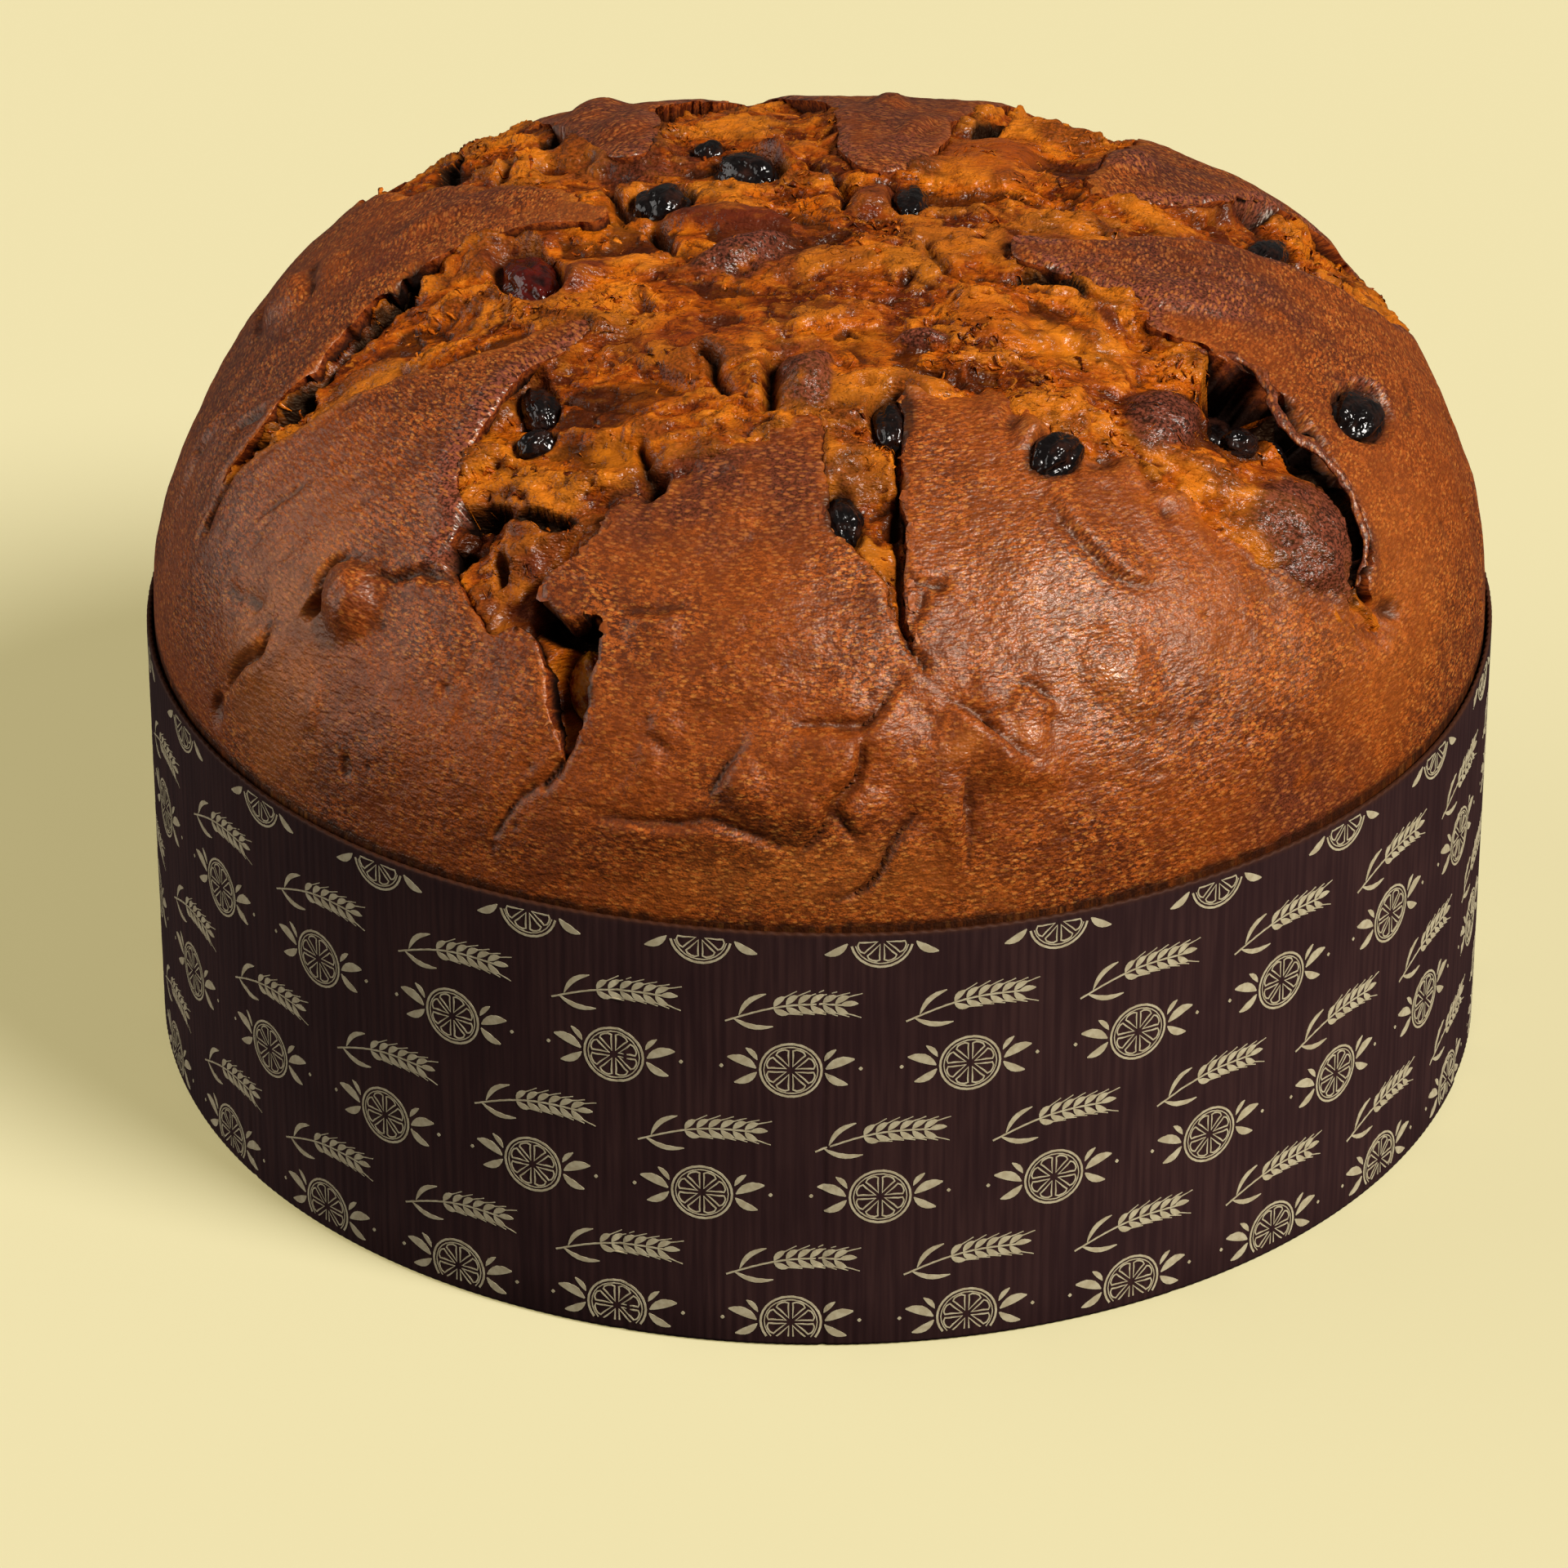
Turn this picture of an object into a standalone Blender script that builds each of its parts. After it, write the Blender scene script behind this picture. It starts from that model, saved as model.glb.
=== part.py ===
"""Low panettone in its paper baking case.

The loaf is one solid: a straight wall that stands in the case, and over it a domed
crust whose brown skin has torn into petals round a star of rough crumb. Raisins and
one piece of candied peel sit in pockets in the crust. The case is a thin paper cup.

Lengths are in millimetres and become metres when a mesh is made. A place on the
crust is a point on a flat map of the dome: x to the right, y to the back, and its
distance from the crown is measured along the dome.
"""

import math

import bmesh
import bpy
import numpy as np
from mathutils import Matrix, Vector

MM = 0.001

# Driving dimensions
CASE_RADIUS = 105.0
CASE_HEIGHT = 72.0
PAPER = 1.0
FOOT_FOLD = 0.8
GAP = 0.35
DOME_RISE = 66.0
SHOULDER_POWER = 2.42
CROWN_POWER = 2.27
LOAF_RADIUS = CASE_RADIUS - PAPER - GAP
LOAF_FOOT = PAPER + GAP
CASE_SIDES = 96

# Mesh of the crust: squares across the map, closer together near the crown
CRUST_SQUARES = 62
CROWN_CROWDING = 0.78
MERIDIAN_POINTS = 1500
SHARP_ANGLE = 50.0
WELD = 0.00001

# Raisin mesh and the room round it
RAISIN_SIDES = 10
RAISIN_RINGS = 6
RAISIN_RIDGES = 5
RIDGE_DEPTH = 0.07
RIDGE_TWIST = 2.0
POCKET_ROOM = 0.5
RAISIN_SINK = 0.18
SEAT_STEP = 0.5

# Relief of the torn crumb and of the skin beside it
TORN_DEPTH = 1.2
TORN_BLEND = 4.0
LIP_REACH = 5.0
LIP_CURL = 2.4
HOLLOW_START = 4.2
HOLLOW_REACH = 6.0
CRUMB_LUMPS = 0.9
SKIN_LUMPS = 0.35
LUMP_SIZE = 13.0
RIM_FADE = (116.0, 134.0)
DENT_FADE = (134.0, 138.0)
BUMP_SIDE = (0.25, 1.15)
HOLLOW_SIDE = (0.35, 1.25)
FOLD_WIDTH = 2.0
PUFF_PLACE = 6.0
PUFF_WIDTH = 4.0

# Broad swellings of the dome: x, y, height, reach
SWELLINGS = (
    (-64, 53, 2.6, 28),
    (76, 44, 2.0, 30),
    (0, 66, -1.6, 16),
    (-112, 16, -1.2, 20),
)

# Edges of the torn star, in order round it, clockwise from above, so that the skin
# lies on the left of each: path, rise of the skin's lip, drop of the crumb beside it
TORN_EDGES = {
    "front_left_crack_outer": (((-44, -111), (-44, -97), (-51, -89), (-56, -80), (-58, -73)), 0.6, 3.0),
    "left_petal_lip": (((-54, -66), (-55, -55), (-48, -44), (-40, -38), (-33, -30)), 2.0, 3.6),
    "left_petal_top": (((-46, -33), (-60, -33), (-75, -32), (-100, -32)), 0.4, 0.8),
    "upper_left_lip": (((-88, -25), (-75, -12), (-62, -2), (-48, 0), (-31, -2)), 1.2, 4.0),
    "upper_left_back": (((-38, 10), (-46, 17), (-57, 25), (-67, 36), (-76, 56)), 0.5, 1.0),
    "back_petal_left": (((-52, 72), (-45, 58), (-40, 44), (-37, 30), (-29, 21)), 0.8, 3.0),
    "back_petal_right": (((-24, 32), (-27, 45), (-25, 62), (-12, 86)), 0.8, 1.8),
    "crown_petal_left": (((2, 62), (3, 40), (4, 25), (10, 13)), 1.0, 3.2),
    "crown_petal_right": (((17, 22), (20, 36), (25, 55), (38, 80)), 0.6, 2.2),
    "back_right_petal_left": (((54, 62), (49, 42), (44, 25), (41, 12)), 0.4, 0.8),
    "back_right_petal_lip": (((50, 14), (60, 19), (66, 28), (73, 38), (92, 50)), 1.0, 3.6),
    "right_petal_back": (((104, 36), (96, 17), (84, 10), (68, 6), (54, 2), (42, -5)), 0.8, 1.4),
    "right_petal_inner": (((29, -7), (30, -15), (38, -17), (46, -20), (50, -27)), 1.0, 2.4),
    "right_petal_lip": (((60, -29), (71, -32), (79, -41), (84, -45), (90, -52), (90, -58)), 1.4, 4.4),
    "front_right_inner": (((100, -59), (88, -64), (70, -66), (52, -60), (30, -51), (14, -50)), 0.3, 0.4),
    "front_crack_right": (((12, -60), (12, -78), (13, -98)), 0.8, 3.0),
    "front_crack_left": (((7, -88), (1, -80), (1, -56)), 0.5, 1.6),
    "front_left_inner": (((-8, -57), (-20, -65)), 0.3, 0.4),
    "front_left_flap": (((-33, -73), (-42, -79), (-42, -85), (-35, -91), (-33, -96), (-38, -104)), 1.4, 3.6),
}

# Cracks and slits beyond those edges: path, half width, depth
SLITS = (
    (((-96, -21), (-90, -22)), 1.2, 1.5),
    (((-26, 1), (-23, -10)), 1.6, 3.0),
    (((-33, 13), (-30, 3)), 1.6, 3.0),
    (((-27, -59), (-25, -68)), 1.6, 2.5),
    (((-18, -39), (-15, -44), (-14, -50)), 1.8, 2.5),
    (((-40, -46), (-30, -49), (-24, -52)), 1.2, 1.2),
    (((-8, -54), (-6, -44)), 1.6, 3.0),
    (((0, 18), (4, 10), (4, 3)), 1.8, 3.0),
    (((20, -18), (15, -8)), 1.4, 1.5),
    (((89, -51), (89, -60)), 1.2, 2.0),
    (((-74, -65), (-69, -71), (-61, -74), (-57, -77)), 1.4, 2.2),
)

# Folds of the smooth skin: path, depth of the fold, puff of the skin beside it
FOLDS = (
    (((13, -102), (6, -108), (-5, -108)), 1.6, 0.8),
    (((6, -108), (7, -113), (1, -120)), 1.6, 0.8),
    (((20, -103), (30, -108), (36, -109)), 1.2, 0.7),
    (((25, -114), (26, -120), (28, -127)), 1.0, 0.5),
    (((16, -119), (11, -131), (3, -134)), 1.4, 0.7),
    (((-4, -127), (-1, -123), (4, -119)), 1.0, 0.5),
    (((-39, -118), (-28, -120), (-16, -122), (-5, -125)), 1.0, 0.5),
    (((-18, -118), (-15, -113), (-11, -110)), 1.0, 0.6),
    (((30, -99), (38, -100)), 0.8, 0.5),
    (((33, -68), (39, -76), (47, -80), (54, -77)), 0.8, 0.5),
    (((-31, -89), (-21, -89)), 0.8, 0.4),
    (((-93, -64), (-97, -68), (-104, -66), (-112, -66)), 1.4, 0.8),
    (((-92, 5), (-92, 20)), 1.2, 0.6),
    (((-80, 3), (-81, 18)), 1.0, 0.6),
    (((-106, -12), (-105, -17)), 1.2, 0.6),
)

# Hollows: x, y, half length, half width, turn in degrees, depth
HOLLOWS = (
    (-47, -68, 9, 4, -18, 6.0),
    (-60, -73, 3, 2.5, 0, 4.0),
    (-40, -89, 6, 3, -35, 5.0),
    (-39, -97, 7, 4, 80, 2.0),
    (-72, -12, 8, 3, 45, 5.0),
    (-84, -27, 6, 2.5, 40, 3.5),
    (-42, 39, 8, 3.5, 80, 5.0),
    (-59, 47, 8, 2.5, 80, 4.0),
    (26, 43, 7, 3, 65, 3.5),
    (69, 30, 8, 4.5, 65, 6.0),
    (86, 28, 9, 5, 60, 5.5),
    (63, -36, 7, 5, 80, 5.5),
    (73, -38, 4.5, 2.5, -50, 4.5),
    (-83, -68, 3, 2.5, 0, 3.0),
    (35, -18, 5.5, 2, -20, 3.0),
    (116, -17, 3, 3, 0, 1.2),
    (-115, -65, 4, 3, 0, 1.5),
)

# Blisters and bumps: x, y, half length, half width, turn in degrees, height
BUMPS = (
    (-75, -71, 8, 7, 60, 3.0),
    (80, -56, 11, 9.5, 20, 3.2),
    (53, -47, 9, 7, 60, 2.2),
    (-86, 9, 10, 6, 85, 1.4),
    (-6, -115, 13, 9, 10, 2.0),
    (-2, -49, 8, 5.5, 80, 3.6),
    (-38, -19, 10, 4.5, 50, 2.4),
    (-12, -12, 11, 4.5, 35, 2.0),
    (26, -32, 7, 6, 0, 1.6),
    (8, 6, 7, 6, 0, 2.0),
    (26, 24, 14, 9, 70, 1.6),
    (58, -15, 12, 8, 20, 1.2),
    (48, 29, 7, 5, 50, 1.8),
    (-45, -5, 8, 4, 20, 2.0),
    (-12, -95, 16, 12, 30, 1.0),
)

# Raisins: x, y, length, width, thickness, turn in degrees, height of the middle
RAISINS = (
    (-24.5, 7, 11, 10, 9, 60, 0.0),
    (-11.5, 19.5, 14, 9, 9, -50, -0.8),
    (-17.5, 28, 6, 5, 5, 40, -0.4),
    (14, 7, 12, 6, 6, 82, 0.0),
    (-43, -46, 11, 6.5, 7, -80, 0.4),
    (-43.5, -54.5, 7, 5.5, 6, 20, 0.4),
    (10.8, -57, 11.5, 6.5, 6.5, 88, -0.4),
    (3.6, -75.5, 10, 6, 6, 100, -0.6),
    (35.2, -61, 11, 7, 7, 50, 0.2),
    (65.5, -35.5, 11, 7, 7, 80, 0.2),
    (66.5, -43.5, 7, 5, 5, 25, 0.0),
    (74.5, -39, 7.5, 5, 5, -50, -0.2),
    (86.5, -25.5, 15, 9.5, 9, 62, -0.8),
    (71.5, 13, 16, 6.5, 7, 62, 0.4),
    (85, 29, 14, 7, 7, 65, 0.6),
    (-45, -12, 18, 9, 9, -70, -0.4),
)

# Candied peel, placed like a raisin
PEEL = (-39, -97.5, 12, 7, 6, 82, 0.0)


def clear_scene():
    for old in list(bpy.data.objects):
        bpy.data.objects.remove(old, do_unlink=True)


def new_collection(name):
    collection = bpy.data.collections.new(name)
    bpy.context.scene.collection.children.link(collection)
    return collection


def material(name, color, roughness):
    made = bpy.data.materials.new(name)
    made.use_nodes = True
    shader = made.node_tree.nodes["Principled BSDF"]
    shader.inputs["Base Color"].default_value = (*color, 1.0)
    shader.inputs["Roughness"].default_value = roughness
    return made


def add_object(name, mesh, collection, surface):
    made = bpy.data.objects.new(name, mesh)
    mesh.materials.append(surface)
    mesh.shade_smooth()
    mesh.set_sharp_from_angle(angle=math.radians(SHARP_ANGLE))
    collection.objects.link(made)
    return made


def smooth(low, high, value):
    share = np.clip((value - low) / (high - low), 0.0, 1.0)
    return share * share * (3.0 - 2.0 * share)


def meridian():
    """Radius and height of the plain dome against the distance from its crown."""
    turn = np.linspace(0.0, math.pi / 2, MERIDIAN_POINTS)
    radius = LOAF_RADIUS * np.sin(turn) ** (2 / SHOULDER_POWER)
    height = CASE_HEIGHT + DOME_RISE * np.cos(turn) ** (2 / CROWN_POWER)
    steps = np.hypot(np.diff(radius), np.diff(height))
    distance = np.concatenate([[0.0], np.cumsum(steps)])
    return distance, radius, height


DISTANCE, RADIUS, HEIGHT = meridian()
RIM_DISTANCE = DISTANCE[-1]
RADIUS_SLOPE = np.gradient(RADIUS, DISTANCE)
HEIGHT_SLOPE = np.gradient(HEIGHT, DISTANCE)


def dome_point(places):
    """Points on the plain dome, and its outward normals, for places on the map."""
    distance = np.hypot(places[:, 0], places[:, 1])
    heading = places / np.maximum(distance, 1e-6)[:, None]
    radius = np.interp(distance, DISTANCE, RADIUS)
    height = np.interp(distance, DISTANCE, HEIGHT)
    rise = np.interp(distance, DISTANCE, RADIUS_SLOPE)
    out = -np.interp(distance, DISTANCE, HEIGHT_SLOPE)
    points = np.column_stack([heading * radius[:, None], height])
    normals = np.column_stack([heading * out[:, None], rise])
    normals /= np.linalg.norm(normals, axis=1)[:, None]
    return points, normals


def cut_corners(path, closed=False):
    """The path with its corners cut twice, so that it runs in soft bends."""
    path = np.array(path, dtype=float)
    for _ in range(2):
        ends = np.roll(path, -1, axis=0) if closed else path[1:]
        starts = path if closed else path[:-1]
        cut = np.empty((2 * len(starts), 2))
        cut[0::2] = 0.75 * starts + 0.25 * ends
        cut[1::2] = 0.25 * starts + 0.75 * ends
        path = cut if closed else np.vstack([path[:1], cut[1:-1], path[-1:]])
    return path


def distance_to_path(places, path):
    best = np.full(len(places), np.inf)
    for start, end in zip(path[:-1], path[1:]):
        run = end - start
        offset = places - start
        share = np.clip(offset @ run / (run @ run), 0.0, 1.0)
        gap = offset - share[:, None] * run
        best = np.minimum(best, np.hypot(gap[:, 0], gap[:, 1]))
    return best


def inside_outline(places, outline):
    """True for the places inside a closed outline, by counting its crossings."""
    inside = np.zeros(len(places), dtype=bool)
    x, y = places[:, 0], places[:, 1]
    for (x0, y0), (x1, y1) in zip(outline, np.roll(outline, -1, axis=0)):
        if y0 != y1:
            crosses = (y0 > y) != (y1 > y)
            inside ^= crosses & (x < (x1 - x0) * (y - y0) / (y1 - y0) + x0)
    return inside


def oval(places, x, y, half_length, half_width, turn):
    """Distance from an oval's middle, where 1 is on the oval."""
    c, s = math.cos(math.radians(turn)), math.sin(math.radians(turn))
    dx, dy = places[:, 0] - x, places[:, 1] - y
    return np.hypot((c * dx + s * dy) / half_length, (c * dy - s * dx) / half_width)


def lumps(places, size):
    """Soft uneven waves between -1 and 1, from crossed sines of unlike lengths."""
    x, y = places[:, 0] / size, places[:, 1] / size
    first = np.sin(2.1 * x + 1.3 * np.sin(1.7 * y + 0.6))
    second = np.sin(2.6 * y - 1.1 * np.sin(1.9 * x + 2.0))
    third = np.sin(3.7 * (x + y) + 1.5 * np.sin(2.3 * (x - y)))
    return (first + second + 0.6 * third) / 2.6


def torn_relief(places):
    """Lips of the skin and the hollows that run under them."""
    outline = cut_corners(np.vstack([edge[0] for edge in TORN_EDGES.values()]), closed=True)
    inside = inside_outline(places, outline)
    loop = np.vstack([outline, outline[:1]])
    to_edge = distance_to_path(places, loop)
    lip = np.zeros(len(places))
    hollow = np.zeros(len(places))
    reach = np.where(inside, LIP_CURL, LIP_REACH)
    for path, rise, drop in TORN_EDGES.values():
        near = distance_to_path(places, cut_corners(path))
        lip = np.maximum(lip, rise * np.exp(-((near / reach) ** 2)))
        past = np.maximum(near - HOLLOW_START, 0.0)
        shade = smooth(0.0, HOLLOW_START, to_edge) * np.exp(-past / HOLLOW_REACH)
        hollow = np.maximum(hollow, drop * shade)
    floor = TORN_DEPTH * smooth(0.0, TORN_BLEND, to_edge)
    crumb = CRUMB_LUMPS * smooth(0.0, TORN_BLEND, to_edge) * lumps(places, LUMP_SIZE)
    skin = SKIN_LUMPS * lumps(places, 2 * LUMP_SIZE)
    return lip + skin + np.where(inside, crumb - hollow - floor, 0.0)


def crust_height(places):
    """Height of the crust above the plain dome at each place."""
    height = torn_relief(places)
    for x, y, rise, reach in SWELLINGS:
        height += rise * np.exp(-oval(places, x, y, reach, reach, 0) ** 2)
    for x, y, half_length, half_width, turn, rise in BUMPS:
        away = oval(places, x, y, half_length, half_width, turn)
        height += rise * (1.0 - smooth(*BUMP_SIDE, away))
    for path, half_width, depth in SLITS:
        away = distance_to_path(places, np.array(path, dtype=float))
        height -= depth * np.exp(-((away / half_width) ** 2))
    for path, depth, puff in FOLDS:
        away = distance_to_path(places, cut_corners(path))
        height -= depth * np.exp(-away / FOLD_WIDTH)
        height += puff * np.exp(-(((away - PUFF_PLACE) / PUFF_WIDTH) ** 2))
    for x, y, half_length, half_width, turn, depth in HOLLOWS:
        away = oval(places, x, y, half_length, half_width, turn)
        height -= depth * (1.0 - smooth(*HOLLOW_SIDE, away))
    from_crown = np.hypot(places[:, 0], places[:, 1])
    share = np.where(height > 0.0, smooth(*RIM_FADE, from_crown), smooth(*DENT_FADE, from_crown))
    return height * (1.0 - share)


def disc_from_square(square):
    """Moves points of a square grid into a round map that reaches the rim."""
    x, y = square[:, 0], square[:, 1]
    ring = np.maximum(np.abs(x), np.abs(y))
    safe = np.maximum(ring, 1e-9)
    wide = np.abs(x) >= np.abs(y)
    heading = np.where(wide, y / safe * math.pi / 4, math.pi / 2 - x / safe * math.pi / 4)
    heading = np.where(wide & (x < 0), math.pi - heading, heading)
    heading = np.where(~wide & (y < 0), -heading, heading)
    distance = RIM_DISTANCE * (CROWN_CROWDING * ring + (1 - CROWN_CROWDING) * ring**3)
    return np.column_stack([distance * np.cos(heading), distance * np.sin(heading)])


def make_loaf(collection, pockets):
    """The crust from a grid, its edge drawn down to the foot and closed there."""
    shape = bmesh.new()
    bmesh.ops.create_grid(shape, x_segments=CRUST_SQUARES, y_segments=CRUST_SQUARES, size=1.0)
    square = np.array([vert.co[:2] for vert in shape.verts])
    places = disc_from_square(square)
    points, normals = dome_point(places)
    points += normals * crust_height(places)[:, None]
    for vert, point in zip(shape.verts, points):
        vert.co = point * MM
    edge = [side for side in shape.edges if side.is_boundary]
    wall = bmesh.ops.extrude_edge_only(shape, edges=edge)
    foot = [item for item in wall["geom"] if isinstance(item, bmesh.types.BMVert)]
    for vert in foot:
        vert.co.z = LOAF_FOOT * MM
    bmesh.ops.holes_fill(shape, edges=[side for side in shape.edges if side.is_boundary])
    bmesh.ops.recalc_face_normals(shape, faces=shape.faces)
    mesh = bpy.data.meshes.new("loaf")
    shape.to_mesh(mesh)
    shape.free()
    surface = material("baked crust", (0.30, 0.085, 0.022), 0.55)
    loaf = add_object("loaf", mesh, collection, surface)
    cut = loaf.modifiers.new("pockets", "BOOLEAN")
    cut.operation = "DIFFERENCE"
    cut.operand_type = "COLLECTION"
    cut.collection = pockets
    return loaf


def nugget_mesh(name, sizes, room):
    """An oval body with a few long wrinkles, made larger all round by the room."""
    shape = bmesh.new()
    bmesh.ops.create_uvsphere(
        shape, u_segments=RAISIN_SIDES, v_segments=RAISIN_RINGS, radius=1.0,
        matrix=Matrix.Rotation(math.pi / 2, 4, "Y"),
    )
    for vert in shape.verts:
        heading = math.atan2(vert.co.z, vert.co.y)
        ridge = 1.0 + RIDGE_DEPTH * math.sin(RAISIN_RIDGES * heading + RIDGE_TWIST * vert.co.x)
        out = vert.co.normalized() * room
        vert.co = Vector(axis * size * ridge / 2 for axis, size in zip(vert.co, sizes)) + out
        vert.co *= MM
    bmesh.ops.recalc_face_normals(shape, faces=shape.faces)
    mesh = bpy.data.meshes.new(name)
    shape.to_mesh(mesh)
    shape.free()
    return mesh


def seat(place, turn, lift):
    """Where a raisin lies: its middle by the crust, its length along the turn."""
    spots = np.array([place, (place[0] + SEAT_STEP, place[1])])
    points, normals = dome_point(spots)
    middle = points[0] + normals[0] * (crust_height(spots)[0] + lift)
    up = Vector(normals[0])
    side = Vector(points[1] - points[0])
    side = (side - up * side.dot(up)).normalized()
    turned = Matrix.Rotation(math.radians(turn), 3, up) @ side
    frame = Matrix((turned, up.cross(turned), up)).transposed().to_4x4()
    return Matrix.Translation(Vector(middle) * MM) @ frame


def make_nugget(name, spec, collection, pockets, surface):
    """A raisin or a piece of peel, and the cutter that makes its pocket."""
    x, y, length, width, thickness, turn, lift = spec
    place = seat((x, y), turn, lift - RAISIN_SINK * thickness)
    sizes = (length, width, thickness)
    nugget = add_object(name, nugget_mesh(name, sizes, 0.0), collection, surface)
    nugget.matrix_world = place
    cutter = bpy.data.objects.new(name + "_pocket", nugget_mesh(name + "_pocket", sizes, POCKET_ROOM))
    cutter.matrix_world = place
    cutter.hide_render = True
    cutter.display_type = "WIRE"
    pockets.objects.link(cutter)


def make_case(collection):
    """The paper cup: a profile from the middle of its floor over the rim, turned."""
    inner = CASE_RADIUS - PAPER
    profile = (
        (0.0, PAPER),
        (inner, PAPER),
        (inner, CASE_HEIGHT),
        (CASE_RADIUS, CASE_HEIGHT),
        (CASE_RADIUS, FOOT_FOLD),
        (CASE_RADIUS - FOOT_FOLD, 0.0),
        (0.0, 0.0),
    )
    mesh = bpy.data.meshes.new("paper_case")
    points = [(x * MM, 0.0, z * MM) for x, z in profile]
    mesh.from_pydata(points, [(i, i + 1) for i in range(len(points) - 1)], [])
    case = add_object("paper_case", mesh, collection, material("brown paper", (0.035, 0.018, 0.016), 0.5))
    turn = case.modifiers.new("turn", "SCREW")
    turn.steps = CASE_SIDES
    turn.render_steps = CASE_SIDES
    turn.use_merge_vertices = True
    turn.merge_threshold = WELD


def main():
    clear_scene()
    parts = new_collection("panettone")
    pockets = new_collection("pocket cutters")
    raisin_skin = material("raisin", (0.012, 0.008, 0.008), 0.25)
    peel_flesh = material("candied peel", (0.45, 0.15, 0.02), 0.25)
    for number, spec in enumerate(RAISINS, start=1):
        make_nugget(f"raisin_{number:02d}", spec, parts, pockets, raisin_skin)
    make_nugget("candied_peel", PEEL, parts, pockets, peel_flesh)
    make_loaf(parts, pockets)
    make_case(parts)


main()
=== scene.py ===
import math

import bpy
import numpy as np
from mathutils import Matrix, Vector


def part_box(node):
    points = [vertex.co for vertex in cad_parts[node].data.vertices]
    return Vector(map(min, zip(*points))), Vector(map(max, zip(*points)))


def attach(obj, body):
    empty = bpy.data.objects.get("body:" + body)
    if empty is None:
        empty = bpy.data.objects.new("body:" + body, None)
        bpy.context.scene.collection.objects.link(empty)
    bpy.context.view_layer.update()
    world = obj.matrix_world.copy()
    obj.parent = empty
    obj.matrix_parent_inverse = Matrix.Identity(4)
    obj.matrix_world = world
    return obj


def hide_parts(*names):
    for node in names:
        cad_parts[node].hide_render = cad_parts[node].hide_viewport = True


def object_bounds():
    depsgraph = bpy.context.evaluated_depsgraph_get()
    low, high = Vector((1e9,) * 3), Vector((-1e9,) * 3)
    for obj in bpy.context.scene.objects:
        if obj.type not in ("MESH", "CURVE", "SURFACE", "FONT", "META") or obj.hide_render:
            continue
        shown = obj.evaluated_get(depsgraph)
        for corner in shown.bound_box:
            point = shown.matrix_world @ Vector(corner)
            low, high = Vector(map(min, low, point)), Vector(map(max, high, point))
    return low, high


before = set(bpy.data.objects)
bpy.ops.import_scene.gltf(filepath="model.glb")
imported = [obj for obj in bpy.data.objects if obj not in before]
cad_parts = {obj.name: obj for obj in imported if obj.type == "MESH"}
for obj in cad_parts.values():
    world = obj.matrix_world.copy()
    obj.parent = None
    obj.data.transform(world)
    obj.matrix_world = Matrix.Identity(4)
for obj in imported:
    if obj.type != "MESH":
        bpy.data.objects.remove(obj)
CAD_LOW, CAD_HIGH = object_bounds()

# The looks of the panettone: a finely torn crust, wrinkled raisins and a printed case.
# Lengths are in millimetres and become metres when a mesh is made. A place on the
# crust is a point on a flat map of the dome: x to the right, y to the back, and its
# distance from the crown is measured along the dome.
MM = 0.001
CASE_RADIUS = 105.0
CASE_HEIGHT = 72.0

# The dome: a superellipse, fuller at the shoulder than at the crown
DOME_RISE = 66.0
SHOULDER_POWER = 2.42
CROWN_POWER = 2.27
LOAF_RADIUS = 103.65
LOAF_WAIST = 52.0
LOAF_FOOT = 1.35
MERIDIAN_STEPS = 1500
TOP_LEVEL = CAD_HIGH.z / MM - 0.05

# The skin's grid: its size, and how much it crowds at the crown and at the front
CRUST_COLUMNS = 276
CRUST_ROWS = 344
CROWN_CROWDING = 0.78
FRONT_CROWDING = 0.6

# Distances from the crown, along the dome, over which the relief above and below the
# plain dome fades out, painted shade darkens the skin by the case, and its points stop shifting
HIGH_FADE = (118.0, 136.0)
LOW_FADE = (133.0, 138.5)
RIM_SHADE = (137.4, 138.6)
RIM_STILL = (137.0, 138.6)

# The sheet of torn crumb: its cell, its margin under the skin, the depth of its skirt, and
# the level of the point that closes it below
SHEET_CELL = 0.46
SHEET_MARGIN = 3.6
SHEET_SKIRT = 9.0
SHEET_HUB = 60.0

# How far a layer sinks where the other one shows, and where the lip's wall starts
HIDDEN = 2.4
UNDER_EDGE = 0.3

# Scraps of skin for each millimetre of a crisp lip, and shreds of crumb: their number, the
# spots that are tried for them, and how far from the crown those reach
FLAKES_PER_MM = 0.3
SHREDS = 1700
SHRED_TRIES = 40000
SHRED_REACH = 112.0

# Seeds of the ragged edges: of the torn outline, and of the forms drawn on the crust
STAR_SEED = 31
FORM_SEED = 61

# Broad swellings of the dome: x, y, height, reach
SWELLINGS = (
    (-64, 53, 2.6, 28),
    (76, 44, 2.0, 30),
    (0, 66, -1.6, 16),
    (-112, 16, -1.2, 20),
)

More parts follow.
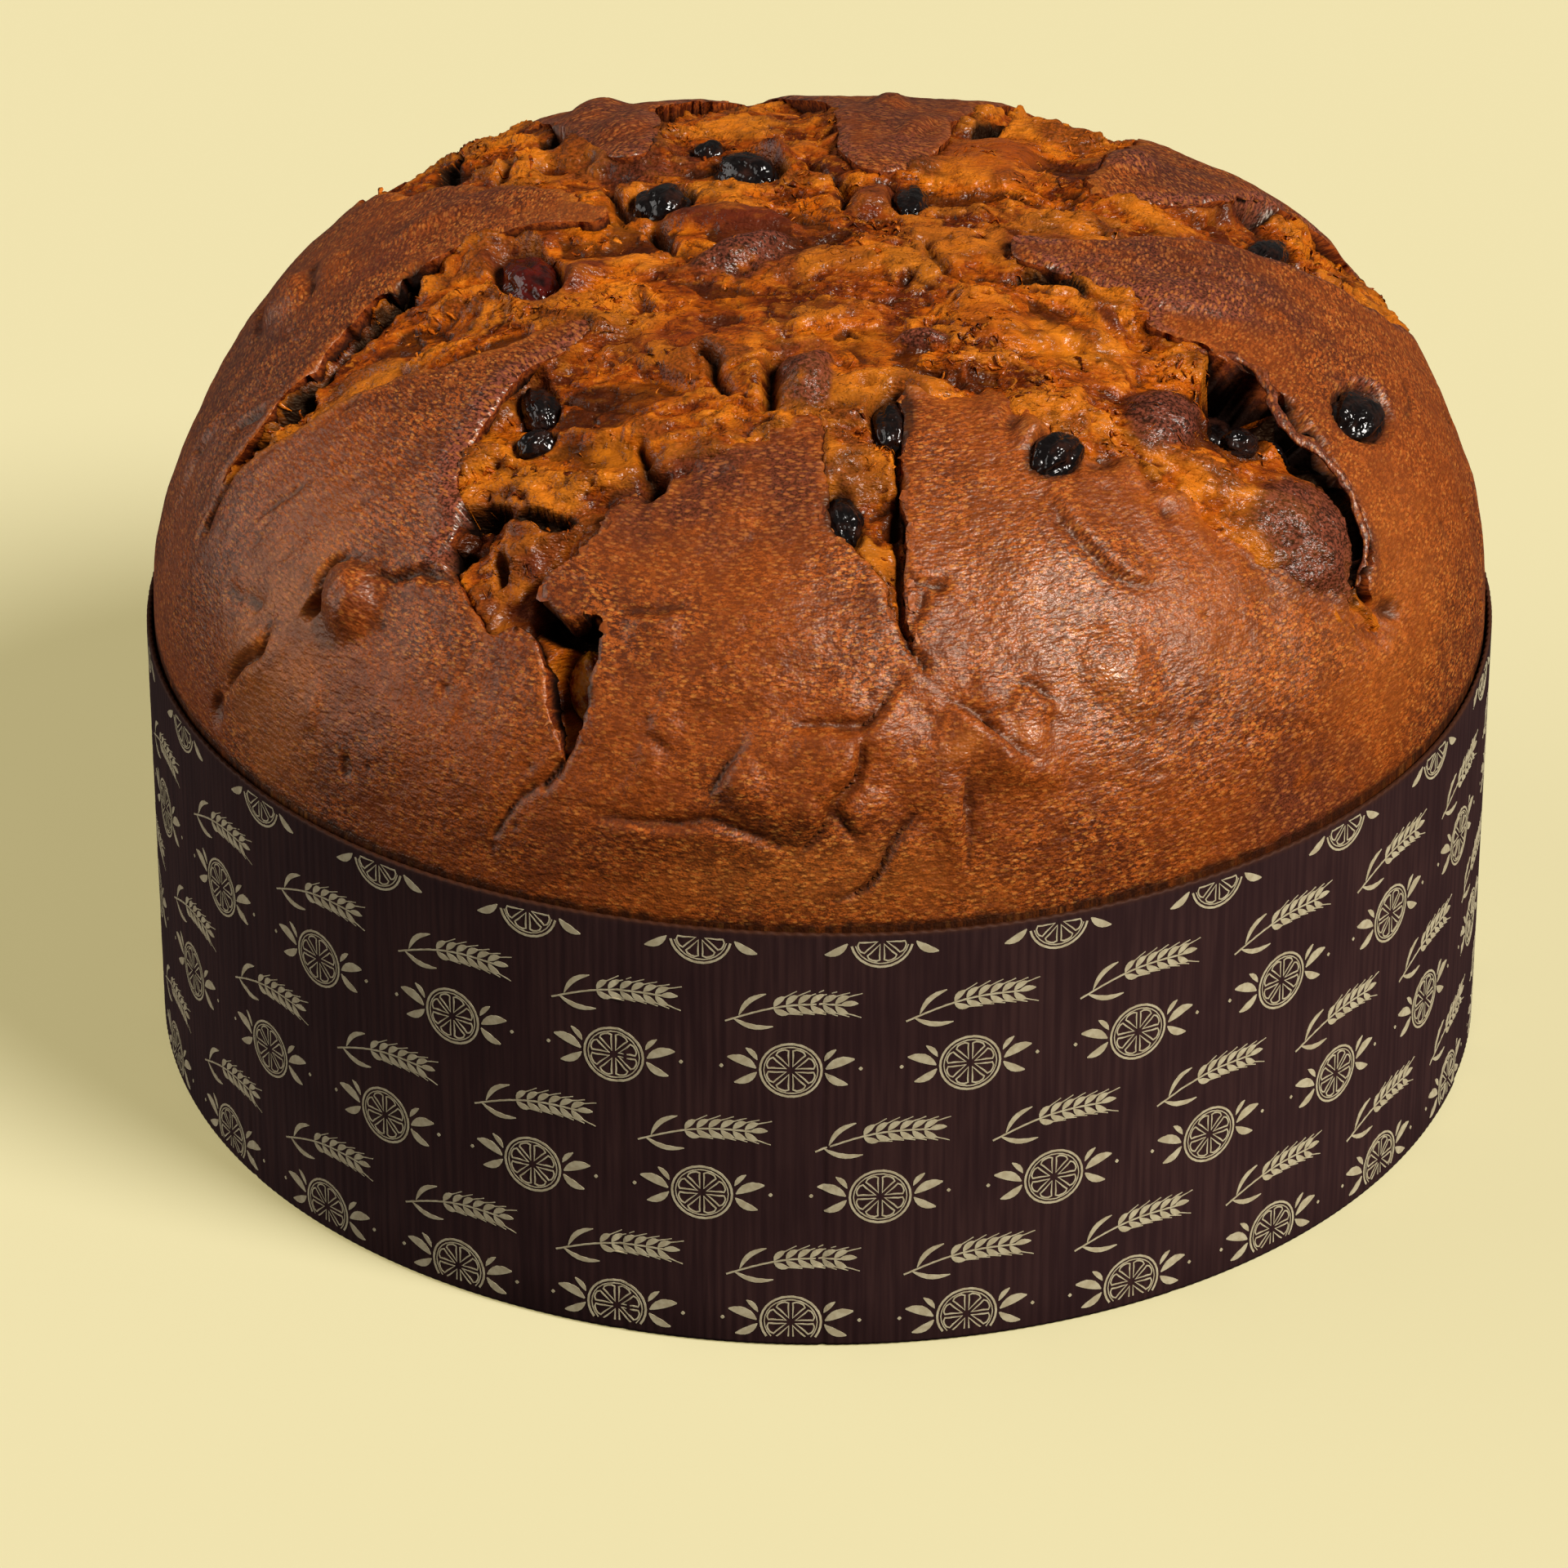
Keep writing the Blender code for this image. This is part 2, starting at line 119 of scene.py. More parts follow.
# Edges of the torn star, clockwise from above, so that the skin lies on the left of
# each: path, rise of the lip, overhang, drop of the crumb, softness, char of the lip
TORN_EDGES = {
    "front_left_crack_outer": (
        ((-43.6, -109), (-43.6, -104), (-44, -97), (-44.5, -91), (-47.5, -87),
         (-51.3, -88.5), (-54.2, -84), (-56, -79.4), (-57, -76.5)),
        0.2, 0.5, 2.6, 0.0, 0.0,
    ),
    "left_petal_lip": (
        ((-59.5, -71.5), (-56.3, -68), (-54.4, -65.6), (-56, -60), (-55, -55), (-51.6, -49.8),
         (-48.2, -44), (-44.4, -39.7), (-39.6, -37.8), (-35.8, -35.4), (-33.0, -31.0)),
        1.7, 1.7, 3.2, 0.0, 0.9,
    ),
    "left_petal_top": (
        ((-41.5, -31.0), (-51, -33.2), (-66, -33), (-75, -32), (-88, -33), (-101, -31.5)),
        0.3, 0.0, 0.7, 0.5, 0.0,
    ),
    "upper_left_lip": (
        ((-98, -30), (-90, -27), (-84, -24.5), (-79, -20.5), (-74, -14.5), (-68, -8.7),
         (-61.5, -4), (-55, -1), (-48, 0), (-40, -1.5), (-31, -2)),
        0.8, 0.7, 0.9, 0.0, 0.15,
    ),
    "upper_left_back": (
        ((-38, 10), (-40, 14), (-45, 17), (-50, 19), (-54, 22), (-58, 25), (-63, 29),
         (-68, 34), (-72, 39), (-76, 47), (-77, 57)),
        0.4, 0.0, 1.4, 0.5, 0.0,
    ),
    "back_petal_left": (
        ((-54, 74), (-50, 66), (-46, 58), (-43, 50), (-41, 44), (-39, 37), (-37, 30),
         (-33, 25), (-29, 21.5)),
        0.5, 0.9, 1.8, 0.15, 0.6,
    ),
    "back_petal_right": (
        ((-24, 31), (-26, 40), (-27, 47), (-25.5, 56), (-21, 66), (-14, 80), (-12, 86)),
        0.5, 0.8, 1.6, 0.1, 0.7,
    ),
    "crown_petal_left": (
        ((2, 64), (1, 55), (3, 46), (3.2, 40), (3, 30), (3.5, 24), (6, 17), (10, 13)),
        0.6, 1.0, 2.2, 0.0, 0.7,
    ),
    "crown_petal_right": (
        ((17, 22), (19, 30), (20, 37), (23, 46), (27, 55), (34, 68), (40, 80)),
        0.4, 0.5, 1.4, 0.3, 0.5,
    ),
    "back_right_petal_left": (
        ((54, 64), (51, 52), (49, 42), (46, 33), (43, 25), (41, 17), (41, 12)),
        0.4, 0.0, 1.0, 0.5, 0.0,
    ),
    "back_right_petal_lip": (
        ((48, 13), (54, 16), (60, 18.5), (64, 23), (67, 29), (71, 35), (78, 41), (86, 47), (93, 50)),
        0.8, 1.5, 2.8, 0.0, 0.8,
    ),
    "right_petal_back": (
        ((104, 36), (101, 26), (96, 17), (90, 12), (84, 10), (75, 7.5), (66, 5.5), (58, 3),
         (50, 0), (42, -5)),
        0.6, 0.3, 1.4, 0.25, 0.6,
    ),
    "right_petal_inner": (
        ((31, -7.5), (29, -10), (30, -14.8), (34.7, -15.6), (38, -17.2), (42.8, -18.6),
         (47, -19), (49.5, -23), (50, -27.5)),
        1.2, 1.2, 2.2, 0.0, 0.9,
    ),
    "right_petal_lip": (
        ((54, -28), (58.6, -27.8), (60, -30.2), (65, -31), (71, -31.5), (75, -36), (79, -41.2),
         (83.5, -45), (87, -48.5), (89, -51.3), (90, -55), (90, -59.5)),
        1.0, 0.6, 2.6, 0.0, 0.3,
    ),
    "front_right_inner": (
        ((99, -61), (93, -64.5), (88, -66), (80, -68), (70, -66.5), (60, -63), (50, -60),
         (40, -57), (30, -51.5), (22, -50), (14, -49.5)),
        0.2, 0.0, 0.3, 1.0, 0.0,
    ),
    "front_crack_right": (
        ((12.4, -52), (12.6, -60), (12.4, -68), (12.4, -76), (13.6, -84), (13.2, -91), (14.8, -97)),
        0.4, 0.3, 1.5, 0.0, 0.0,
    ),
    "front_crack_left": (
        ((14.2, -97), (11.6, -92), (10.2, -86), (6, -82), (1.5, -78), (0.8, -70), (1, -62), (0, -56)),
        0.2, 0.2, 0.9, 0.0, 0.0,
    ),
    "front_left_inner": (
        ((-8, -57.5), (-13, -61), (-20, -65.5), (-27, -69)),
        0.2, 0.0, 0.3, 1.0, 0.0,
    ),
    "front_left_flap": (
        ((-32, -73), (-34.2, -77), (-36, -79.6), (-42.2, -82.2), (-42.3, -85.5), (-38, -88.6),
         (-34.6, -87), (-32.8, -90), (-33.6, -94.7), (-35.5, -97.5), (-37, -102.3),
         (-40.3, -106), (-42.8, -109)),
        0.6, 0.7, 3.0, 0.0, 0.15,
    ),
}

# Narrow cracks and slits: path, half width, depth
SLITS = (
    (((-25.5, 0.5), (-24.6, -4), (-23, -9.5)), 1.0, 2.6),
    (((-33, 14), (-31.5, 8), (-30, 3)), 1.1, 2.6),
    (((-27, -59), (-26.5, -63), (-25, -67.5)), 1.1, 2.4),
    (((-49.6, -57.4), (-46.5, -58.5)), 0.9, 1.6),
    (((-18, -39), (-15.7, -42), (-15.2, -47.4), (-14.2, -49.8)), 1.1, 2.6),
    (((-39.6, -46.4), (-32, -49), (-24.8, -52)), 0.8, 1.1),
    (((-26.7, -43), (-22, -45.6), (-17.6, -47.4)), 0.8, 1.0),
    (((-5.6, -43.5), (-7.4, -48), (-8, -54)), 1.2, 3.4),
    (((-3, 22), (0, 18), (3, 13), (4.2, 8), (4, 3)), 1.0, 2.6),
    (((20, -18.2), (17.5, -13), (15.6, -8)), 0.9, 1.8),
    (((-82, -68), (-80, -64.4), (-76, -63.6), (-72.5, -65.6), (-70, -69.5), (-67, -72),
      (-61, -74), (-57.5, -76.2)), 0.7, 1.6),
    (((12.0, -60), (11.4, -66), (11.9, -72), (11.4, -76.5)), 0.7, 2.6),
    (((11.4, -79), (12.6, -84), (12, -88), (13.4, -93), (14.6, -96.6), (16.6, -99)), 0.6, 1.8),
    (((-74.6, -17), (-79, -22.3), (-84.6, -26.2), (-91, -28.8), (-98.4, -32), (-104, -36)), 0.8, 2.4),
    (((15.6, -88), (15, -91.3)), 0.7, 1.2),
    (((14.6, -86), (18.4, -86.5)), 0.7, 1.2),
    (((-95, -20.6), (-90, -22.5)), 0.9, 1.6),
    (((-49, -111), (-55.6, -113.8), (-59, -115.7)), 0.7, 0.9),
    (((-44, -109), (-47, -111)), 0.9, 1.6),
    (((-91, -45), (-86, -45.6), (-82.6, -46.5)), 0.7, 0.8),
    (((-101, -52), (-99, -56), (-95, -60)), 0.8, 0.8),
    (((97, -5), (97, -15)), 0.7, 0.7),
    (((110, 5), (114, 13)), 0.7, 0.7),
)

# Folds of the smooth skin: path, depth, puff of the skin beside it, and the higher side (1 is left)
FOLDS = (
    (((13, -102), (9.4, -106), (6.5, -107.8), (-5, -108)), 1.7, 0.8, 1),
    (((6.5, -108), (7, -112.8), (5.5, -116.7), (1.2, -119.5)), 1.7, 0.9, -1),
    (((20.4, -102.8), (30.4, -108), (35.7, -109)), 1.3, 0.8, -1),
    (((26, -104.7), (29.4, -102.8)), 0.8, 0.5, -1),
    (((24.7, -113.8), (25.6, -120), (27.5, -127.2)), 1.0, 0.5, -1),
    (((16, -119.5), (12.7, -124.3), (10.8, -131.5), (3, -134.4)), 1.5, 0.8, 1),
    (((-4, -127.2), (-1.2, -122.9), (4, -118.6)), 1.1, 0.7, 1),
    (((3, -120), (7.4, -124.3)), 0.8, 0.4, 1),
    (((-39.3, -117.6), (-28, -120.3), (-16, -122), (-5, -125.5)), 1.1, 0.6, -1),
    (((-18.3, -117.6), (-15, -113), (-12, -110.5)), 1.0, 0.6, -1),
    (((30.4, -99), (38, -100)), 0.9, 0.5, -1),
    (((33.3, -68), (39, -75.5), (45, -79), (50, -79.8), (54, -77.4)), 0.8, 0.5, 1),
    (((-30.7, -89.4), (-21, -89.4)), 0.9, 0.5, -1),
    (((-28.8, -107), (-24, -110)), 0.7, 0.4, 0),
    (((-93, -64), (-94, -67), (-97, -68), (-104, -66), (-110, -66)), 1.5, 0.8, 0),
    (((-92, 5), (-92, 20)), 1.2, 0.6, 0),
    (((-81, 3), (-81, 18)), 1.0, 0.6, 0),
    (((-106.5, -11.5), (-104.6, -16.8)), 1.2, 0.6, 0),
    (((-93, -84), (-90, -87)), 0.9, 0.4, 0),
)

# Hollows: x, y, half length, half width, turn in degrees, depth
HOLLOWS = (
    (-52, -66.5, 4.6, 2.3, -10, 4.6),
    (-42, -69.8, 5.4, 1.6, -24, 3.2),
    (-50, -77, 3.4, 1.4, 70, 2.6),
    (-44, -84, 4.4, 1.3, 60, 2.6),
    (-57.6, -73, 3.2, 2.4, 0, 4.0),
    (-39.5, -88.5, 6.5, 2.8, -30, 5.5),
    (-68.2, -11.6, 9.5, 2.2, 45, 5.0),
    (-85, -27, 7.0, 2.2, 35, 3.5),
    (-42, 40, 8.0, 3.0, 80, 5.0),
    (-59, 46, 8.0, 2.2, 80, 3.6),
    (-50, 25, 5.0, 1.5, 70, 2.0),
    (27, 43, 6.0, 2.4, 65, 3.5),
    (69.5, 30, 7.5, 4.0, 65, 6.0),
    (86, 30, 9.0, 4.0, 60, 5.0),
    (65.2, -38.4, 7.6, 5.2, 78, 4.6),
    (75, -39.5, 8.0, 3.6, -50, 4.2),
    (84.5, -48.5, 8.0, 1.9, -50, 3.4),
    (88.4, -57, 6.0, 1.5, -85, 3.0),
    (-82.5, -68.5, 2.4, 1.8, 0, 2.6),
    (35, -17.8, 5.2, 1.6, -20, 3.4),
    (116, -17, 2.6, 2.2, 0, 1.0),
    (-115, -65, 3.2, 2.6, 0, 1.2),
    (-13.5, 48, 2.0, 1.6, 0, 2.5),
    (63, 17, 2.4, 1.4, 20, 2.2),
    (59, 15, 2.0, 1.2, 20, 1.8),
    (20, -18.2, 2.2, 1.6, 0, 2.6),
    (69, -53, 1.8, 1.6, 0, 0.9),
    (98, -58, 1.8, 1.6, 0, 1.1),
    (-86, -94, 1.6, 1.5, 0, 0.8),
    (-25, -68, 3.0, 1.8, 70, 2.0),
)

# Bumps and blisters: x, y, half length, half width, turn, height, kind of surface
BUMPS = (
    (-75, -71, 7.5, 6.6, 60, 3.4, "brown"),
    (79.5, -57, 14.5, 12.0, 30, 3.2, "plum"),
    (52.5, -46.5, 8.5, 6.5, 60, 2.0, "plum"),
    (-45, -70.5, 5.0, 1.7, -22, 1.6, "brown"),
    (-86, 9, 9.5, 6.0, 85, 1.4, "plain"),
    (-6, -115, 13.0, 9.0, 10, 2.0, "plain"),
    (-2, -49, 8.2, 5.0, 80, 3.8, "burnt"),
    (-38.5, -18.5, 9.0, 4.2, 48, 2.6, "red"),
    (-12, -12, 10.5, 3.8, 32, 2.2, "plum"),
    (8, 6, 7.0, 6.0, 0, 1.8, "red"),
    (-13, -1.5, 12.5, 4.2, -14, 2.0, "red"),
    (26, -32.5, 6.8, 6.0, 0, 1.6, "amber"),
    (26, 26, 14.0, 8.5, 70, 1.6, "amber"),
    (58, -15.5, 11.0, 7.0, 20, 1.6, "burnt"),
    (48, 28, 7.0, 5.0, 50, 1.8, "burnt"),
    (-46, -4, 8.0, 4.0, 20, 1.6, "red"),
    (-8, 23, 5.2, 3.6, -50, 3.0, "red"),
    (31.4, -56.8, 4.2, 3.2, 40, 2.8, "brown"),
    (87.5, -20, 6.5, 4.0, 30, 2.6, "burnt"),
    (15.5, -37.5, 5.0, 1.8, 10, 1.4, "burnt"),
    (44, -26, 3.4, 1.7, -45, 1.6, "red"),
    (-12, -95, 16.0, 12.0, 30, 1.0, "plain"),
    (63, -32.8, 3.0, 1.5, 20, 2.0, "red"),
    (49, -94, 10.0, 7.0, -30, 1.0, "plain"),
    (34, -110, 9.0, 6.0, 20, 1.3, "plain"),
    (19, -113, 8.0, 7.0, 0, 1.1, "plain"),
    (-36, 54, 11.0, 4.5, 72, 1.5, "plain"),
    (-31, 37, 7.0, 3.6, 60, 1.2, "plain"),
    (11, 54, 13.0, 3.6, 84, 1.4, "plain"),
    (15, 34, 8.0, 3.0, 66, 1.2, "plain"),
    (64, 22, 11.0, 3.0, 40, 1.2, "plain"),
    (-60, 12, 10.0, 4.0, 30, 1.3, "plain"),
    (62, -6, 12.0, 3.6, -8, 1.2, "plain"),
)

# Broad stains of the skin: x, y, half length, half width, turn, strength, kind
STAINS = (
    (-12, -15, 12.0, 6.0, 20, 0.7, "burnt"),
    (45, -13, 16.0, 6.0, 0, 0.8, "burnt"),
    (66, -14, 10.0, 7.0, 0, 0.4, "burnt"),
    (-33, 46, 12.0, 26.0, 12, 0.85, "baked"),
    (12, 46, 13.0, 30.0, -6, 0.85, "baked"),
    (12, 24, 9.0, 9.0, 0, 0.7, "burnt"),
    (-31, 26, 7.0, 6.0, 0, 0.5, "burnt"),
    (58, 28, 16.0, 14.0, 30, 0.8, "baked"),
    (-58, 16, 20.0, 12.0, 20, 0.55, "baked"),
    (56, -8, 28.0, 13.0, -12, 1.0, "baked"),
    (-28, 24, 11.0, 9.0, 0, 0.9, "baked"),
    (-12, -70, 26.0, 14.0, 10, 0.95, "baked"),
    # Paler, glossier patches where the highlight falls: painted sheen with real gloss
    (40, -90, 26.0, 13.0, -40, 0.7, "gloss_and_painted_sheen"),
    (26, -74, 16.0, 10.0, 10, 0.35, "gloss_and_painted_sheen"),
    (98, -58, 30.0, 20.0, 60, 0.45, "fair"),
    (70, -78, 24.0, 14.0, 20, 0.3, "fair"),
    (-96, -72, 30.0, 16.0, 50, 1.0, "fair"),
    (0, -130, 40.0, 7.0, 0, 0.5, "fair"),
    (94, -98, 24.0, 16.0, 40, 0.8, "baked"),
    (-94, -6, 16.0, 26.0, 10, 0.55, "baked"),
    # Small pale glossy spots: painted glints with real gloss
    (23, -109.5, 3.6, 2.4, 20, 0.9, "gloss_and_painted_glint"),
    (47.6, -95.6, 5.5, 2.8, -30, 0.9, "gloss_and_painted_glint"),
    (33.5, -105.5, 3.6, 2.2, 0, 0.9, "gloss_and_painted_glint"),
    (-38, -97, 3.0, 2.2, 0, 0.5, "gloss_and_painted_glint"),
    # Glazed lips: glossy char, paled into a painted sheen
    (-51.6, -46.5, 6.5, 2.0, 62, 1.0, "glazed"),
    (-56.6, -56, 7.0, 2.4, 82, 1.0, "glazed"),
    (-45, -122, 14.0, 10.0, 10, 0.4, "baked"),
    (86, -20, 8.0, 6.0, 30, 0.5, "burnt"),
    (-44, -40, 7.0, 4.0, 40, 0.4, "burnt"),
    (33, -56, 6.0, 4.0, 30, 0.6, "burnt"),
    (-2, -40, 6.0, 5.0, 0, 0.5, "burnt"),
    (20, 4, 9.0, 5.0, 0, 0.5, "red"),
    (-46, -80, 12.0, 7.0, 70, 0.9, "red"),
    (-50, -66, 9.0, 6.0, 20, 0.6, "red"),
    (-39, -103, 8.0, 4.0, 80, 0.6, "red"),
    (-70, 2, 12.0, 4.0, 30, 0.5, "red"),
    (0, -18, 15.0, 8.0, 0, 0.5, "red"),
    (20, -6, 15.0, 8.0, 20, 0.45, "red"),
    (-22, -34, 17.0, 6.0, 10, 0.5, "red"),
    (60, 2, 14.0, 8.0, 0, 0.7, "baked"),
    (35, -34, 9.0, 6.0, 0, 1.0, "fair"),
    (-46, -60, 9.0, 7.0, 0, 0.7, "fair"),
    (-30, -61, 6.0, 6.0, 0, 1.0, "fair"),
    (8, -27, 15.0, 6.0, 10, 0.4, "red"),
    (-36, 2, 10.0, 7.0, 0, 0.4, "fair"),
)

# Surface of each kind: how much burn, amber, red, gloss and fairness it shows. Gloss also pales
# the char into a painted sheen, and the fairness of the sheen and glint kinds is their painted
# highlight, beside their real gloss
KINDS = {
    "plain": (0.0, 0.0, 0.0, 0.1, 0.0),
    "brown": (0.35, 0.25, 0.1, 0.35, 0.0),
    "baked": (0.80, 0.0, 0.25, 0.25, 0.0),
    "burnt": (1.0, 0.0, 0.15, 0.6, 0.0),
    "plum": (0.9, 0.0, 0.0, 0.45, 0.0),
    "glazed": (0.8, 0.0, 0.0, 1.0, 0.0),
    "amber": (0.0, 1.0, 0.1, 0.5, 0.0),
    "red": (0.15, 0.0, 1.0, 0.8, 0.0),
    "fair": (0.0, 0.0, 0.0, 0.0, 1.0),
    "gloss_and_painted_sheen": (0.0, 0.0, 0.0, 0.6, 0.35),
    "gloss_and_painted_glint": (0.0, 0.0, 0.0, 1.0, 0.9),
}

# Raisins: x and y of the seat, length, width, thickness, turn in degrees. Where each one's
# middle lies comes from its solid
RAISINS = (
    (-24.5, 7, 11, 10, 9, 60),
    (-11.5, 19.5, 14, 9, 9, -50),
    (-17.5, 28, 6, 5, 5, 40),
    (14, 7, 12, 6, 6, 82),
    (-43, -46, 11, 6.5, 7, -80),
    (-43.5, -54.5, 7, 5.5, 6, 20),
    (10.8, -57, 11.5, 6.5, 6.5, 88),
    (3.6, -75.5, 10, 6, 6, 100),
    (35.2, -61, 11, 7, 7, 50),
    (65.8, -35.2, 11, 7, 7, 80),
    (67.3, -43.4, 7, 5, 5, 25),
    (74.8, -38.7, 7.5, 5, 5, -50),
    (86.5, -25.5, 15, 9.5, 9, 62),
    (71.5, 13, 16, 6.5, 7, 62),
    (85, 29, 14, 7, 7, 65),
    (-45, -12, 18, 9, 9, -70),
)
PEEL = (-39, -97.5, 12, 7, 6, 82)

# Lips without scraps of skin
SMOOTH_LIPS = ("right_petal_lip", "upper_left_lip")

# Outline of a scrap of skin: along the torn edge, and out over the crumb
FLAKE = np.array(
    [(-0.5, -0.9), (-0.44, 0.35), (-0.12, 0.8), (0.10, 1.0), (0.36, 0.45), (0.5, -0.9)]
)

# Path of the thin strap of curled skin over the right crack
STRAP = (
    (57.5, -28.6), (62, -29.2), (66, -30.4), (68.8, -34.2), (70.2, -38.6), (73, -41.6), (77.5, -42.2),
    (82, -44.6), (85.6, -48), (88, -51.6), (89.4, -55.4), (89.6, -60),
)
RUBY = "raisin_16"

# The floor's own glow and the tone that it shows under the lights
FLOOR_GLOW = (0.372, 0.316, 0.1370, 1.0)
FLOOR_LIT = (0.445, 0.418, 0.2895, 1.0)


# Numbers and noise: directions of the gradients, and the level at which the noise is read
# for places of the flat map
GRADIENTS = np.array(
    [(1, 1, 0), (-1, 1, 0), (1, -1, 0), (-1, -1, 0), (1, 0, 1), (-1, 0, 1), (1, 0, -1),
     (-1, 0, -1), (0, 1, 1), (0, -1, 1), (0, 1, -1), (0, -1, -1), (1, 1, 0), (-1, 1, 0),
     (0, -1, 1), (0, -1, -1)], dtype=float)
FLAT_LEVEL = 0.37


def smooth(low, high, value):
    share = np.clip((value - low) / (high - low), 0.0, 1.0)
    return share * share * (3.0 - 2.0 * share)


def hashed(ix, iy, iz, seed):
    value = (ix * 374761393 + iy * 668265263 + iz * 1440662683 + seed * 974634777) & 0xFFFFFFFF
    value = ((value ^ (value >> 13)) * 1274126177) & 0xFFFFFFFF
    return value ^ (value >> 16)


def noise(points, size, seed=0):
    """Smooth gradient noise, about -1 to 1, at rows of x and y, or x, y and z."""
    spots = np.asarray(points, dtype=float) / size
    if spots.shape[1] == 2:
        spots = np.column_stack([spots, np.full(len(spots), FLAT_LEVEL)])
    cell = np.floor(spots).astype(np.int64)
    part = spots - cell
    fade = part**3 * (part * (part * 6 - 15) + 10)
    total = np.zeros(len(spots))
    for corner in range(8):
        step = np.array([corner & 1, corner >> 1 & 1, corner >> 2 & 1])
        pick = GRADIENTS[hashed(*(cell + step).T, seed) & 15]
        weight = np.prod(np.where(step, fade, 1.0 - fade), axis=1)
        total += weight * np.einsum("ij,ij->i", pick, part - step)
    return total


def fractal(points, size, octaves, seed=0, gain=0.5):
    total = np.zeros(len(points))
    for level in range(octaves):
        total += gain**level * noise(points, size / 2.03**level, seed + 17 * level)
    return total


def nearest_cells(points, size, seed=0):
    """Distance to the nearest of scattered points, and that point's own number, 0 to 1."""
    spots = np.asarray(points, dtype=float) / size
    cell = np.floor(spots).astype(np.int64)
    best = np.full(len(spots), 9.0)
    number = np.zeros(len(spots))
    zero = np.zeros(len(spots), dtype=np.int64)
    for dx in (-1, 0, 1):
        for dy in (-1, 0, 1):
            ix, iy = cell[:, 0] + dx, cell[:, 1] + dy
            code = hashed(ix, iy, zero, seed)
            px = ix + (code & 1023) / 1023.0
            py = iy + (code >> 10 & 1023) / 1023.0
            gap = np.hypot(spots[:, 0] - px, spots[:, 1] - py)
            closer = gap < best
            best = np.where(closer, gap, best)
            number = np.where(closer, (code >> 20 & 1023) / 1023.0, number)
    return best, number


# The dome and its torn star
def meridian():
    """Distances from the crown along the dome, with the radius and the height there."""
    turn = np.linspace(0.0, math.pi / 2, MERIDIAN_STEPS)
    radius = LOAF_RADIUS * np.sin(turn) ** (2 / SHOULDER_POWER)
    height = CASE_HEIGHT + DOME_RISE * np.cos(turn) ** (2 / CROWN_POWER)
    steps = np.hypot(np.diff(radius), np.diff(height))
    return np.concatenate([[0.0], np.cumsum(steps)]), radius, height


DISTANCE, RADIUS, HEIGHT = meridian()
RIM_DISTANCE = DISTANCE[-1]
RADIUS_SLOPE = np.gradient(RADIUS, DISTANCE)
HEIGHT_SLOPE = np.gradient(HEIGHT, DISTANCE)


def dome_point(places):
    """Points of the plain dome at places of the map, and its normals there."""
    distance = np.hypot(places[:, 0], places[:, 1])
    heading = places / np.maximum(distance, 1e-6)[:, None]
    radius = np.interp(distance, DISTANCE, RADIUS)
    height = np.interp(distance, DISTANCE, HEIGHT)
    rise = np.interp(distance, DISTANCE, RADIUS_SLOPE)
    out = -np.interp(distance, DISTANCE, HEIGHT_SLOPE)
    points = np.column_stack([heading * radius[:, None], height])
    normals = np.column_stack([heading * out[:, None], rise])
    normals /= np.linalg.norm(normals, axis=1)[:, None]
    return points, normals


def cut_corners(path, closed=False):
    """Rounds a path by cutting off its corners twice."""
    path = np.array(path, dtype=float)
    for _ in range(2):
        ends = np.roll(path, -1, axis=0) if closed else path[1:]
        starts = path if closed else path[:-1]
        cut = np.empty((2 * len(starts), 2))
        cut[0::2] = 0.75 * starts + 0.25 * ends
        cut[1::2] = 0.25 * starts + 0.75 * ends
        path = cut if closed else np.vstack([path[:1], cut[1:-1], path[-1:]])
    return path


def distance_to_path(places, path):
    best = np.full(len(places), np.inf)
    for start, end in zip(path[:-1], path[1:]):
        run = end - start
        offset = places - start
        share = np.clip(offset @ run / (run @ run), 0.0, 1.0)
        gap = offset - share[:, None] * run
        best = np.minimum(best, gap[:, 0] ** 2 + gap[:, 1] ** 2)
    return np.sqrt(best)


def run_along(path):
    """Distance of each point of a path from its start, along the path."""
    return np.concatenate([[0.0], np.cumsum(np.linalg.norm(np.diff(path, axis=0), axis=1))])


def points_at(path, at):
    """The points of a path at distances from its start."""
    run = run_along(path)
    return np.column_stack([np.interp(at, run, path[:, k]) for k in (0, 1)])


def along_path(places, path):
    """Distance to a path, how far along it the nearest point lies, 0 to 1, and the side."""
    lengths = np.linalg.norm(np.diff(path, axis=0), axis=1)
    starts = run_along(path)
    best = np.full(len(places), np.inf)
    share = np.zeros(len(places))
    side = np.zeros(len(places))
    for k, (start, end) in enumerate(zip(path[:-1], path[1:])):
        run = end - start
        offset = places - start
        part = np.clip(offset @ run / (run @ run), 0.0, 1.0)
        gap = np.linalg.norm(offset - part[:, None] * run, axis=1)
        share = np.where(gap < best, (starts[k] + part * lengths[k]) / starts[-1], share)
        side = np.where(gap < best, np.sign(run[0] * offset[:, 1] - run[1] * offset[:, 0]), side)
        best = np.minimum(best, gap)
    return best, share, side


def inside_outline(places, outline):
    inside = np.zeros(len(places), dtype=bool)
    x, y = places[:, 0], places[:, 1]
    for (x0, y0), (x1, y1) in zip(outline, np.roll(outline, -1, axis=0)):
        if y0 != y1:
            crosses = (y0 > y) != (y1 > y)
            inside ^= crosses & (x < (x1 - x0) * (y - y0) / (y1 - y0) + x0)
    return inside


def oval(places, x, y, half_length, half_width, turn):
    """How far places lie from the middle of an oval: 1 on its outline."""
    c, s = math.cos(math.radians(turn)), math.sin(math.radians(turn))
    dx, dy = places[:, 0] - x, places[:, 1] - y
    return np.hypot((c * dx + s * dy) / half_length, (c * dy - s * dx) / half_width)


